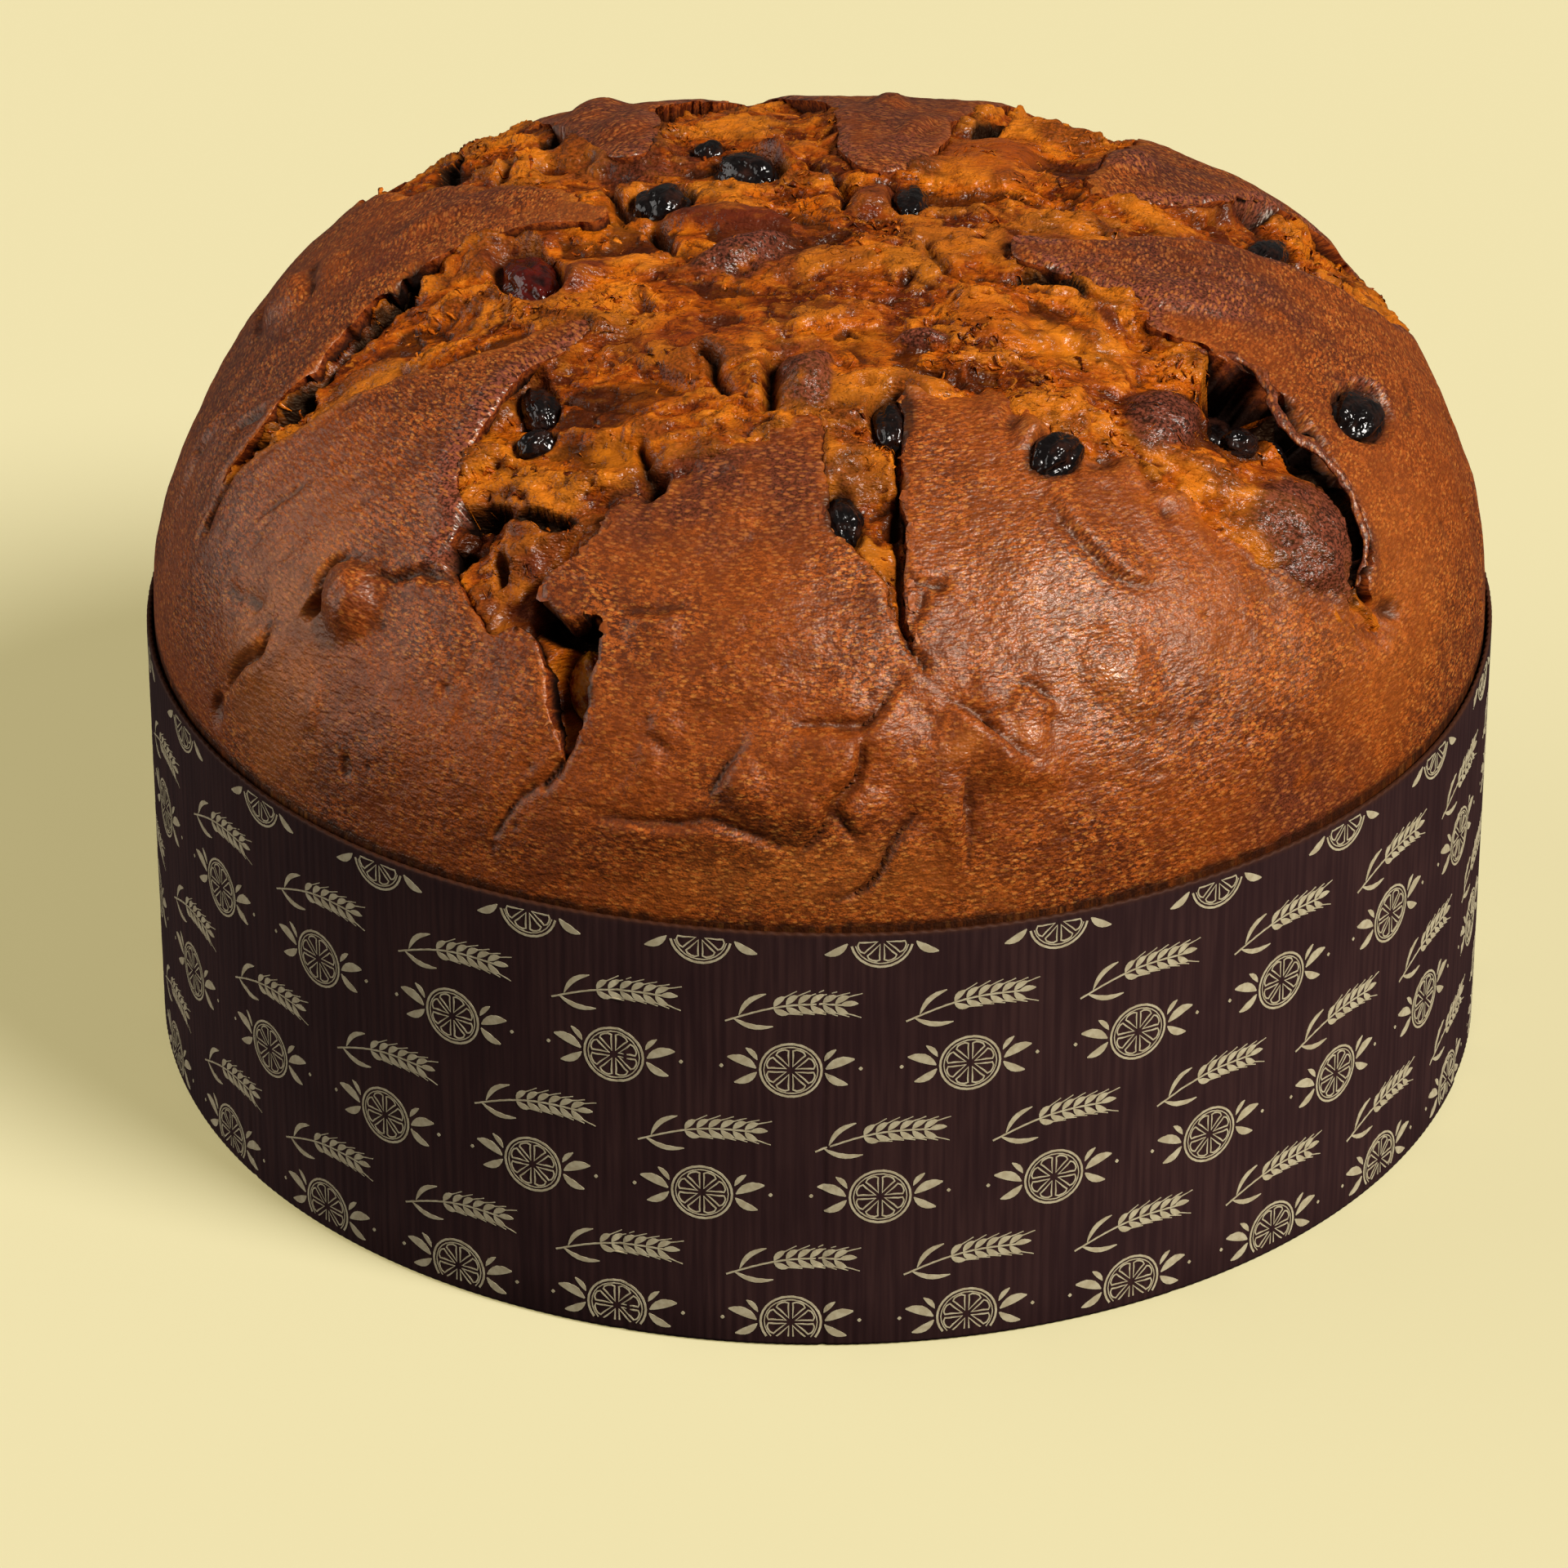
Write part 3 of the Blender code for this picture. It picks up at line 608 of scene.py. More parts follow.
def disc_from_square(square):
    """Places of the map from points of a square, crowded towards the crown."""
    x, y = square[:, 0], square[:, 1]
    ring = np.maximum(np.abs(x), np.abs(y))
    safe = np.maximum(ring, 1e-9)
    wide = np.abs(x) >= np.abs(y)
    heading = np.where(wide, y / safe * math.pi / 4, math.pi / 2 - x / safe * math.pi / 4)
    heading = np.where(wide & (x < 0), math.pi - heading, heading)
    heading = np.where(~wide & (y < 0), -heading, heading)
    distance = RIM_DISTANCE * (CROWN_CROWDING * ring + (1 - CROWN_CROWDING) * ring**3)
    return np.column_stack([distance * np.cos(heading), distance * np.sin(heading)])


STAR = cut_corners(np.vstack([edge[0] for edge in TORN_EDGES.values()]), closed=True)
STAR_LOOP = np.vstack([STAR, STAR[:1]])


def sway(places, size, seed):
    """Noise to the sides and along, for moving places."""
    return np.column_stack([noise(places, size, seed), noise(places, size, seed + 1)])


def in_star(x, y):
    return inside_outline(np.array([(x, y)]), STAR)[0]


def ragged(places, seed, fine=1.0):
    """Moves places a little to and fro, so that edges drawn there are ragged."""
    broad, middle, small = (sway(places, size, seed + more) for size, more in ((7.0, 0), (3.1, 5), (1.5, 9)))
    fine = np.reshape(fine, (-1, 1))
    return places + (1.1 * broad + fine * 0.60 * middle + fine * 0.25 * small)


def star_distance(places, fine=1.0):
    """Distance from the torn outline: above 0 in the crumb, below 0 on the skin."""
    moved = ragged(places, STAR_SEED, fine)
    away = distance_to_path(moved, STAR_LOOP)
    return np.where(inside_outline(moved, STAR), away, -away)


def edge_character(places):
    """Blend of the nearby edges' rise, overhang, drop, softness and char."""
    total = np.zeros(len(places))
    blend = np.zeros((len(places), 5))
    for path, *values in TORN_EDGES.values():
        near = distance_to_path(places, cut_corners(path))
        weight = np.exp(-((near / 3.5) ** 2)) + 1e-6 / (1.0 + near**2)
        total += weight
        blend += weight[:, None] * np.array(values)
    return (blend / total[:, None]).T


def star_slope(places):
    """Direction across the outline, towards the crumb."""
    step = 1.3
    slope = np.column_stack([
        star_distance(places + (step, 0), 0.0) - star_distance(places - (step, 0), 0.0),
        star_distance(places + (0, step), 0.0) - star_distance(places - (0, step), 0.0),
    ])
    return slope / np.maximum(np.linalg.norm(slope, axis=1), 1e-6)[:, None]


def membranes(places):
    """Where the tear is drawn out to smooth, shiny sheets: 0 to 1."""
    return smooth(-0.3, 0.1, noise(places, 19.0, 131) + 0.4 * noise(places, 7.0, 132))


def torn_crumb(places):
    """Height of the torn crumb, its pits, the feet of its ledges and its fine relief."""
    bent = places + 3.6 * sway(places, 15.0, 21)
    bent += 1.5 * sway(places, 5.5, 27)
    coarse = 1.0 - 0.6 * membranes(places)
    hills = fractal(bent, 17.0, 2, 23)
    folds, shreds, curls, threads = (
        1.0 - 2.6 * np.abs(noise(bent * (squeeze, 1.0), size, seed))
        for squeeze, size, seed in ((0.55, 9.5, 24), (0.5, 3.2, 25), (0.55, 1.5, 29), (0.35, 0.9, 26))
    )
    ledges = fractal(bent * (0.6, 1.15), 11.0, 4, 30)
    shelf, foot = np.zeros(len(places)), np.zeros(len(places))
    for level in (-0.45, -0.15, 0.15, 0.45):
        shelf += smooth(level, level + 0.04, ledges)
        foot = np.maximum(foot, np.exp(-(((ledges - level) / 0.025) ** 2)))
    holes, number = nearest_cells(bent * (0.6, 1.0), 4.6, 92)
    pores = (number > 0.80) * (1.0 - smooth(0.10, 0.34, holes))
    small, number = nearest_cells(bent * (0.6, 1.0), 1.9, 93)
    pores = np.maximum(pores, 0.7 * (number > 0.72) * (1.0 - smooth(0.10, 0.34, small))) * coarse
    fine = coarse * (0.42 * shreds + 0.30 * curls + 0.16 * threads) + 0.45 * folds
    fine += 0.65 * (shelf - 2.0) - 1.3 * pores
    crusty = smooth(0.15, 0.19, ledges) * smooth(-0.1, 0.25, noise(bent, 8.0, 33))
    return 1.6 * hills + 0.5 * folds + fine - 0.7, pores, foot * (0.4 + 0.6 * coarse), fine, crusty


def nugget_level(node, place):
    """Height of a raisin's middle above the plain dome."""
    low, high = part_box(node)
    point, normal = dome_point(np.array([place]))
    return float((np.array((low + high) / 2) / MM - point[0]) @ normal[0])


NUGGETS = [(f"raisin_{number:02d}", spec) for number, spec in enumerate(RAISINS, start=1)]
NUGGETS.append(("candied_peel", PEEL))
LEVELS = [nugget_level(node, spec[:2]) for node, spec in NUGGETS]


def drawn_to_edge(places, cell, soft, fine):
    """Places by a crisp edge, moved onto it or just under it, so that the grid follows it.

    Their distance across the edge and the slope across it come with them.
    """
    across = star_distance(places, fine)
    slope = np.zeros_like(places)
    near = np.abs(across) < 9.0
    slope[near] = star_slope(places[near])
    on_edge = (np.abs(across) < 0.5 * cell) & (soft < 0.35)
    under_edge = (across >= 0.5 * cell) & (across < 1.5 * cell) & (soft < 0.35)
    goal = np.where(on_edge, 0.0, UNDER_EDGE)
    drawn = on_edge | under_edge
    for _ in range(2):
        off = star_distance(places[drawn], fine[drawn]) - goal[drawn]
        places = places.copy()
        places[drawn] -= off[:, None] * slope[drawn]
    return places, np.where(drawn, goal, across), slope


def bumps_and_stains(places, jagged):
    """Height of the bumps, where they are even, the surface marks and their mottling."""
    even = np.zeros(len(places))
    bumps = np.zeros(len(places))
    marks = {name: np.zeros(len(places)) for name in ("burn", "amber", "red", "gloss", "fair")}
    mottle = np.clip(0.85 + 0.9 * fractal(places, 5.0, 3, 83), 0.0, 1.0)
    for x, y, half_length, half_width, turn, height, kind in BUMPS:
        away = oval(jagged, x, y, half_length, half_width, turn)
        bumps += height * (1.0 - smooth(0.2, 1.12, away))
        if kind != "plain":
            patch = 1.0 - smooth(0.62, 1.12, away)
            even = np.maximum(even, patch)
            cover = patch if kind == "plum" else patch * mottle
            for mark, share in zip(marks.values(), KINDS[kind]):
                np.maximum(mark, share * cover, out=mark)
    for x, y, half_length, half_width, turn, strength, kind in STAINS:
        away = oval(jagged, x, y, half_length, half_width, turn)
        patch = strength * (1.0 - smooth(0.2, 1.35, away)) * mottle
        for mark, share in zip(marks.values(), KINDS[kind]):
            np.maximum(mark, share * patch, out=mark)
    bumps *= 1.0 + 0.12 * noise(places, 3.0, 77) * even
    bumps += even * (0.22 * np.abs(noise(places, 2.6, 78)) + 0.12 * np.abs(noise(places, 1.2, 79)))
    return bumps, even, marks, mottle


def cut_forms(places, jagged, height, deep, open_tear, sheet):
    """Cuts the slits, folds and hollows into the height, and paints shade into them.

    On the skin, the hollows of the tear stop at its edge, as open_tear says, and the
    folds are cut into the skin alone.
    """
    slit_shade = 0.9 if sheet else 0.7
    for path, half_width, depth in SLITS:
        away = distance_to_path(jagged, cut_corners(path)) / half_width
        height -= depth * np.exp(-(away**2))
        shade = min(1.0, depth / 2.4) * np.exp(-((away / slit_shade) ** 2))
        deep = np.maximum(deep, shade)
    for path, depth, puff, higher in () if sheet else FOLDS:
        away, along, side = along_path(ragged(places, FORM_SEED, 0.4), cut_corners(path))
        fade = np.sin(np.clip(along, 0.02, 0.98) * math.pi) ** 0.6
        step = higher * side * (1.0 - np.exp(-away / 0.5)) * np.exp(-away / 5.0)
        height -= 1.25 * (depth + puff) * fade * np.exp(-away / 0.6)
        height += puff * fade * (2.0 * np.exp(-((away / 6.0) ** 2)) + 1.7 * step)
        shade = 0.2 * min(1.0, depth / 1.3) * fade * np.exp(-((away / 0.5) ** 2))
        deep = np.maximum(deep, shade)
    for x, y, half_length, half_width, turn, depth in HOLLOWS:
        away = oval(jagged, x, y, half_length, half_width, turn)
        bowl = 1.0 - smooth(0.6, 1.1, away)
        if not sheet and in_star(x, y):
            bowl *= open_tear
        height -= depth * bowl
        dark = bowl if depth < 3.0 else 1.0 - smooth(0.95, 1.2, away)
        if not sheet:
            dark = dark * open_tear
        deep = np.maximum(deep, min(1.0, depth / 3.2) * dark)
    for x, y, rise, reach in SWELLINGS:
        height += rise * np.exp(-oval(places, x, y, reach, reach, 0) ** 2)
    return height, deep


def seat_nuggets(places, height, deep, torn, sheet):
    """Makes seats for the raisins and the peel, and paints shade round them."""
    for level, (_, (x, y, length, width, thickness, turn)) in zip(LEVELS, NUGGETS):
        away = oval(places, x, y, length / 2, width / 2, turn)
        past = np.maximum(away - 1.0, 0.0) * width / 2
        if not sheet and in_star(x, y):
            past = np.where(torn, past, 99.0)
        height = np.minimum(height, level + 0.12 * thickness + 2.4 * past)
        height = np.maximum(height, level - 0.32 * thickness - 3.0 * past)
        deep = np.maximum(deep, 0.8 * (1.0 - smooth(0.95, 1.2, away)))
    return height, deep


def crust(places, cell, sheet=False):
    """Places after the shifts at the lips, height of the crust, and its surface marks.

    The crust is laid in two layers: the skin, which sinks out of sight inside the torn
    star, and the sheet of torn crumb, which dips under the skin round the star.

    The marks colour the crust. Burn, amber, red, gloss and fair are kinds of baking, and gloss
    also pales the char into a painted sheen. Crumb is the share of torn crumb, and the shade
    mark is painted shade in the hollows, slits, folds and seats, under the lips and at the
    feet of the ledges. Pale marks the paler edges, pore the holes of the crumb, which are
    painted dark as shade, sheet its smooth membranes, crusty its baked ledges, and wall the
    torn sides. They run from 0 to 1, and relief runs from -1 to 1. Across is the distance from
    the torn outline.
    """
    rise, over, drop, soft, char = edge_character(places)
    fine = 1.1 - 0.9 * char
    if sheet:
        across, slope = star_distance(places, fine), np.zeros_like(places)
    else:
        places, across, slope = drawn_to_edge(places, cell, soft, fine)
    crisp = 1.0 - smooth(0.2, 0.9, soft)
    skin_side = np.maximum(-across, 0.0)
    torn_side = np.maximum(across, 0.0)
    torn = across > 0.0
    open_up = smooth(-0.35, 0.35, noise(places, 15.0, 55) + 0.5 * noise(places, 6.0, 56))

    # Crumb: 1 in the open tear, fading over some millimetres where the edge is soft
    blur = 0.3 + 8.0 * soft
    fray = 5.0 * soft * fractal(places, 6.0, 3, 71)
    faded = smooth(-blur, blur, across + fray)
    if sheet:
        crumb = crisp + (1.0 - crisp) * np.clip(0.3 + faded, 0.0, 1.0)
    else:
        crumb = np.where(soft < 0.35, np.where(torn, 1.0, 0.0), faded)

    # Lips of the skin, and the hollow under them
    lip = rise * np.exp(-((np.abs(across) / 4.5) ** 2)) * (0.5 + 0.5 * open_up)
    if not sheet:
        lip -= (0.2 + 1.3 * char**2) * crisp * np.exp(-skin_side / (0.5 + 1.2 * char))
    depth = drop * (0.22 + 0.78 * open_up) * np.exp(-np.maximum(torn_side - 2.5, 0.0) / 4.5)
    thick = 0.55 + 0.3 * noise(places, 4.0, 57)
    inside = torn | sheet
    hollow = np.where(inside, depth * crisp, 0.0)
    step = np.where(inside, thick * crisp, 0.0)

    # Skin: broad waves, dimples and pebbles
    skin = 0.50 * fractal(places, 26.0, 2, 3) + 0.34 * noise(places, 9.0, 5)
    skin += 0.14 * noise(places, 3.2, 6) + 0.10 * noise(places, 1.6, 7)
    pits, number = nearest_cells(places, 7.0, 91)
    skin -= 0.45 * (number > 0.8) * (1.0 - smooth(0.05, 0.16, pits))
    rough, pores, foot, fine, crusty = torn_crumb(places)
    floor = smooth(0.0, 5.0, torn_side)

    # Painted shade under the lips and at the feet of the crumb's ledges
    near_lip = crisp * np.clip(depth / 2.6, 0, 1) * np.exp(-torn_side / 2.0)
    deep = np.where(torn, 0.9 * near_lip, 0.0)
    deep = np.maximum(deep, 0.55 * foot * crumb)

    # Forms drawn on the crust
    jagged = ragged(places, FORM_SEED)
    bumps, even, marks, mottle = bumps_and_stains(places, jagged)
    share = np.ones(len(places)) if sheet else crumb
    height = lip + skin * (1.0 - share * 0.5)
    height += share * rough * (1.0 - 0.8 * even) - share * floor - step + bumps
    open_tear = 1.0 - smooth(0.0, 0.8, skin_side) * crisp
    height, deep = cut_forms(places, jagged, height, deep, open_tear, sheet)
    height, deep = seat_nuggets(places, height - hollow, deep, torn, sheet)
    if sheet:
        height -= np.where(torn, 0.0, crisp * (1.2 + 0.4 * skin_side))
        height -= (1.0 - crisp) * HIDDEN * (1.0 - faded)
    else:
        height -= np.where(torn, crisp * HIDDEN, 0.0) + (1.0 - crisp) * HIDDEN * faded

    # Char and paler edges of the lips, and the other marks
    reach = 1.2 + 4.0 * char**2
    charred = char * crisp * (1.0 - smooth(0.4, 1.0, skin_side / reach)) * ~torn * mottle * (not sheet)
    marks["burn"] = np.maximum(marks["burn"], charred)
    marks["gloss"] = np.maximum(marks["gloss"], charred)
    pale = (1.0 - char) * crisp * np.where(torn, 0.0, 1.0 - smooth(0.3, 1.1, skin_side)) * (not sheet)
    pale *= smooth(-0.3, 0.3, noise(places, 5.0, 58))
    # Painted shade on the crumb where it runs under the skin, and on the skin's torn sides
    if sheet:
        deep = np.maximum(deep, crisp * smooth(0.0, 1.2, skin_side))
    else:
        deep = np.maximum(deep, crisp * torn)
    marks.update(crumb=crumb, deep=np.clip(deep, 0.0, 1.0), pale=pale, pore=pores * crumb)
    if not sheet:
        marks.update(wall=crisp * torn, across=across)
    marks["sheet"] = membranes(places) * crumb
    marks["crusty"] = crusty * crumb
    marks["relief"] = np.clip(fine - 0.1, -1.0, 1.0)

    # Overhang of the lip, and the hollow under it
    reach_out = over * crisp * (0.35 + 0.65 * open_up) * np.exp(-skin_side / 2.6)
    reach_under = (0.6 * over + 0.3) * crisp * open_up * np.exp(-torn_side / 1.5)
    reach = np.where(torn, -reach_under, reach_out)
    return places + slope * reach[:, None], height, marks, places


def softened(values, reach):
    """The values of a square grid, each averaged over the squares around it."""
    for axis in (0, 1):
        padding = [(reach + 1, reach) if k == axis else (0, 0) for k in (0, 1)]
        total = np.cumsum(np.pad(values, padding, mode="edge"), axis=axis)
        size = values.shape[axis]
        upper = np.take(total, np.arange(2 * reach + 1, 2 * reach + 1 + size), axis=axis)
        values = (upper - np.take(total, np.arange(size), axis=axis)) / (2 * reach + 1)
    return values


# Meshes of the loaf, the raisins and the peel
def new_mesh(name, points, faces, surface, marks=None, smooth_shading=True):
    """A mesh from points in millimetres, with its marks as attributes."""
    mesh = bpy.data.meshes.new(name)
    mesh.from_pydata((np.asarray(points) * MM).tolist(), [], faces)
    mesh.update()
    for key, values in (marks or {}).items():
        values = np.asarray(values, dtype=np.float32)
        if values.ndim == 1:
            mesh.attributes.new(key, "FLOAT", "POINT").data.foreach_set("value", values)
        else:
            layer = mesh.attributes.new(key, "FLOAT_VECTOR", "POINT")
            layer.data.foreach_set("vector", values.ravel())
    if smooth_shading:
        mesh.shade_smooth()
    mesh.materials.append(surface)
    made = bpy.data.objects.new(name, mesh)
    bpy.context.scene.collection.objects.link(made)
    return made


def add_piece(piece, slot, *nodes):
    """Hangs a piece on the body and hides the solids that it replaces. Its slot is not used."""
    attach(piece, "root")
    if nodes:
        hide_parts(*nodes)
    return piece


def raised(places, height):
    """Points at a height over the dome, under the solids' top, and the dome's normals."""
    points, normals = dome_point(places)
    points += normals * height[:, None]
    points[:, 2] = np.minimum(points[:, 2], TOP_LEVEL)
    return points, normals


def grid_quads(corner):
    """The squares between the rows and columns of a grid of corners."""
    return np.stack([corner[:-1, :-1], corner[:-1, 1:], corner[1:, 1:], corner[1:, :-1]], axis=-1)


def band_quads(lower, upper):
    """The squares of a closed band between two rings of corners."""
    return np.stack([lower, np.roll(lower, -1), np.roll(upper, -1), upper], axis=-1)


def fan(ring, hub):
    """The triangles from a closed ring of corners to its hub."""
    return np.stack([ring, np.roll(ring, -1), np.full(len(ring), hub)], axis=-1).tolist()


def padded(marks, added):
    """The marks with zeros for points that were added after them."""
    return {key: np.concatenate([values, np.zeros(added)]) for key, values in marks.items()}


def make_loaf(surface, torn_sides):
    """The skin: a grid over the whole dome, closed inside the case by a wall and a foot."""
    across = np.linspace(-1.0, 1.0, CRUST_COLUMNS + 1)
    along = np.linspace(-1.0, 1.0, CRUST_ROWS + 1)
    along += FRONT_CROWDING / 2 * (along**2 - 1.0)
    wide, long = len(across), len(along)
    start = disc_from_square(np.column_stack([np.tile(across, long), np.repeat(along, wide)]))
    steps = [np.linalg.norm(step, axis=2) for step in np.gradient(start.reshape(long, wide, 2), axis=(0, 1))]
    moved, height, marks, places = crust(start, cell=np.maximum(*steps).ravel())
    grid = height.reshape(long, wide)
    marks["relief"] = np.clip((grid - softened(grid, 4)).ravel() / 0.9, -1.0, 1.0)
    from_crown = np.hypot(places[:, 0], places[:, 1])
    height = near_rim(height, from_crown)
    # Painted shade on the skin just above the rim of the case
    shade = 0.85 * smooth(*RIM_SHADE, from_crown + 0.8 * noise(places, 2.2, 181))
    marks["deep"] = np.maximum(marks["deep"], shade)
    still = smooth(*RIM_STILL, from_crown)[:, None]
    points, _ = raised(moved * (1 - still) + start * still, height)
    low = points[:, 2] < CASE_HEIGHT + 1.5
    radius = np.hypot(points[:, 0], points[:, 1])
    squeeze = np.where(low, np.minimum(1.0, LOAF_RADIUS / np.maximum(radius, 1e-6)), 1.0)
    points[:, :2] *= squeeze[:, None]

    # The grid's faces, then the wall and the foot below its rim
    count = wide * long
    corner = np.arange(count).reshape(long, wide)
    faces = cut_along(grid_quads(corner).reshape(-1, 4), marks.pop("across"))
    edge = np.concatenate([corner[0, :-1], corner[:-1, -1], corner[-1, :0:-1], corner[:0:-1, 0]])
    rim = points[edge]
    rows = [edge]
    extra = []
    for level in (LOAF_WAIST, LOAF_FOOT):
        rows.append(count + len(extra) * len(edge) + np.arange(len(edge)))
        extra.append(np.column_stack([rim[:, :2], np.full(len(edge), level)]))
    for upper, lower in zip(rows[:-1], rows[1:]):
        faces += band_quads(lower, upper).tolist()
    faces += fan(rows[-1][::-1], count + len(extra) * len(edge))
    points = np.vstack([points, *extra, [[0.0, 0.0, LOAF_FOOT]]])

    # Marks, and the two maps of the textures: flat, and drawn round the crown
    added = len(points) - count
    marks = padded(marks, added)
    from_crown = np.concatenate([from_crown, np.full(added, RIM_DISTANCE)])
    flat = np.vstack([places, np.vstack([*extra, [[0, 0, 0]]])[:, :2] * 1.3])
    marks["flat"] = np.column_stack([flat, points[:, 2]])
    marks["around"] = np.column_stack([from_crown, points[:, :2]])
    is_wall = [int(max(marks["wall"][face]) > 0.5) for face in faces]
    made = new_mesh("torn_loaf", points, faces, surface, marks)
    made.data.materials.append(torn_sides)
    made.data.polygons.foreach_set("material_index", is_wall)
    return add_piece(made, "baked_crust", "loaf")


def cut_along(quads, across):
    """Cuts the squares at a torn edge along it, so that the edge runs straight."""
    level = across[quads]
    near = np.abs(level).min(axis=1) < 2.0
    turned = np.abs(level[:, 1] - level[:, 3]) < np.abs(level[:, 0] - level[:, 2])
    quads = np.where((near & turned)[:, None], np.roll(quads, -1, axis=1), quads)
    cut = quads[near]
    return quads[~near].tolist() + cut[:, [0, 1, 2]].tolist() + cut[:, [0, 2, 3]].tolist()


def near_rim(height, from_crown):
    """The crust's relief fades out where the loaf enters the case."""
    low, full = np.where((height > 0)[:, None], HIGH_FADE, LOW_FADE).T
    return height * (1.0 - smooth(low, full, from_crown))


def make_crumb(surface):
    """The sheet of torn crumb: a fine grid over the star, closed below by a skirt."""
    low_x, low_y = STAR.min(axis=0) - SHEET_MARGIN
    high_x, high_y = STAR.max(axis=0) + SHEET_MARGIN
    across = np.arange(low_x, high_x, SHEET_CELL)
    along = np.arange(low_y, high_y, SHEET_CELL)
    wide, long = len(across), len(along)
    places = np.column_stack([np.tile(across, long), np.repeat(along, wide)])

    # Cells near the star, found on a coarse grid
    coarse = 5
    rough = places.reshape(long, wide, 2)[::coarse, ::coarse]
    near = distance_to_path(rough.reshape(-1, 2), STAR_LOOP)
    near = np.where(inside_outline(rough.reshape(-1, 2), STAR), -near, near).reshape(rough.shape[:2])
    kept = np.repeat(np.repeat(near < SHEET_MARGIN, coarse, axis=0), coarse, axis=1)[:long, :wide]
    corner = np.arange(wide * long).reshape(long, wide)
    cells = kept[:-1, :-1] & kept[1:, :-1] & kept[:-1, 1:] & kept[1:, 1:]
    quads = grid_quads(corner)[cells]
    used, quads = np.unique(quads, return_inverse=True)
    quads = quads.reshape(-1, 4)
    places = places[used]
    _, height, marks, _ = crust(places, cell=SHEET_CELL, sheet=True)
    points, normals = raised(places, near_rim(height, np.hypot(places[:, 0], places[:, 1])))

    # The skirt hangs from the sides that only one square has
    count = len(points)
    sides = np.concatenate([quads[:, [k, (k + 1) % 4]] for k in range(4)])
    code = sides.min(axis=1) * count + sides.max(axis=1)
    _, first, times = np.unique(code, return_index=True, return_counts=True)
    rim = sides[first[times == 1]]
    edge, rim = np.unique(rim, return_inverse=True)
    rim = rim.reshape(-1, 2)
    skirt = points[edge] - normals[edge] * SHEET_SKIRT
    hub = count + len(edge)
    faces = quads.tolist()
    start, end = rim.T
    faces += np.column_stack([edge[end], edge[start], count + start, count + end]).tolist()
    faces += np.column_stack([count + end, count + start, np.full(len(rim), hub)]).tolist()
    points = np.vstack([points, skirt, [[0.0, 0.0, SHEET_HUB]]])
    marks = padded(marks, len(points) - count)
    flat = np.vstack([places, places[edge], [[0.0, 0.0]]])
    marks["flat"] = np.column_stack([flat, points[:, 2]])
    return add_piece(new_mesh("torn_crumb", points, faces, surface, marks), "baked_crust")


def make_shreds(surface):
    """Torn strands and flakes of crumb that stand a little off the tear."""
    pick = np.random.default_rng(11)

    # Where they stand: crowded where the tear is rough
    spots = pick.uniform(-SHRED_REACH, SHRED_REACH, (SHRED_TRIES, 2))
    crowding = smooth(-0.25, 0.45, noise(spots, 12.0, 141)) * (1.0 - 0.85 * membranes(spots))
    far = star_distance(spots)
    spots = spots[(far > 0.7) & (pick.random(len(spots)) < crowding)][:SHREDS]

    # Shape of each
    count, stations = len(spots), 6
    share = np.linspace(0.0, 1.0, stations)
    heading = pick.normal(0.0, 0.75, count)
    length = np.minimum(pick.gamma(3.0, 0.38, count) + 0.8, 3.6)
    bend = pick.normal(0.0, 0.25, count) * length
    lift = pick.gamma(2.0, 0.11, count) + 0.05
    loose = pick.random(count) < 0.3
    width = pick.gamma(2.5, 0.16, count) + 0.22
    twist = pick.normal(0.0, 0.55, (count, 2))

    # Middle lines on the map, and arched over the torn crumb
    way = np.column_stack([np.cos(heading), np.sin(heading)])
    side = np.column_stack([-way[:, 1], way[:, 0]])
    line = spots[:, None] + way[:, None] * (length[:, None] * (share - 0.5))[..., None]
    line += side[:, None] * (bend[:, None] * np.sin(share * math.pi))[..., None]
    line = line.reshape(-1, 2)
    moved, height, under, _ = crust(line, cell=SHEET_CELL, sheet=True)
    arch = np.where(loose[:, None], share**1.6 * 1.3, np.sin(share * math.pi)) * lift[:, None] - 0.22
    points, normals = dome_point(moved)
    middle = (points + normals * (height + arch.ravel())[:, None]).reshape(count, stations, 3)

    # Three corners at each station, turned as the shred twists
    upright = normals.reshape(count, stations, 3)
    run = np.gradient(middle, axis=1)
    run /= np.maximum(np.linalg.norm(run, axis=2), 1e-9)[..., None]
    flat_side = np.cross(upright, run)
    flat_side /= np.maximum(np.linalg.norm(flat_side, axis=2), 1e-9)[..., None]
    turn = twist[:, :1] + twist[:, 1:] * share
    glazed = np.maximum(under["burn"], under["red"]).reshape(count, stations).max(axis=1)
    width *= np.where(glazed < 0.3, 1.0, 0.3)
    broad = width[:, None] * np.sin(math.pi * (0.10 + 0.80 * share))
    corners = []
    for angle, reach in ((0.0, 0.5), (math.pi, 0.5), (math.pi / 2, 0.16)):
        out = np.cos(turn + angle)[..., None] * flat_side + np.sin(turn + angle)[..., None] * upright
        corners.append(middle + out * (broad * reach)[..., None])
    points = np.stack(corners, axis=2).reshape(-1, 3)

    # Faces and marks
    base = (np.arange(count) * stations * 3)[:, None]
    faces = []
    for k in range(stations - 1):
        for a, b in ((0, 1), (1, 2), (2, 0)):
            faces.append(base + 3 * k + (b, a, a + 3, b + 3))
    faces = np.concatenate(faces).tolist()
    faces += (base + (0, 1, 2)).tolist() + (base + 3 * (stations - 1) + (2, 1, 0)).tolist()
    tone = np.repeat(pick.uniform(-0.4, 0.7, count), stations * 3)
    places = np.repeat(line, 3, axis=0)
    marks = {"crumb": np.ones(len(points)), "relief": tone, "sheet": np.full(len(points), 0.3)}
    marks["flat"] = np.column_stack([places, points[:, 2]])
    marks["around"] = marks["flat"]
    return add_piece(new_mesh("crumb_shreds", points, faces, surface, marks), "baked_crust")


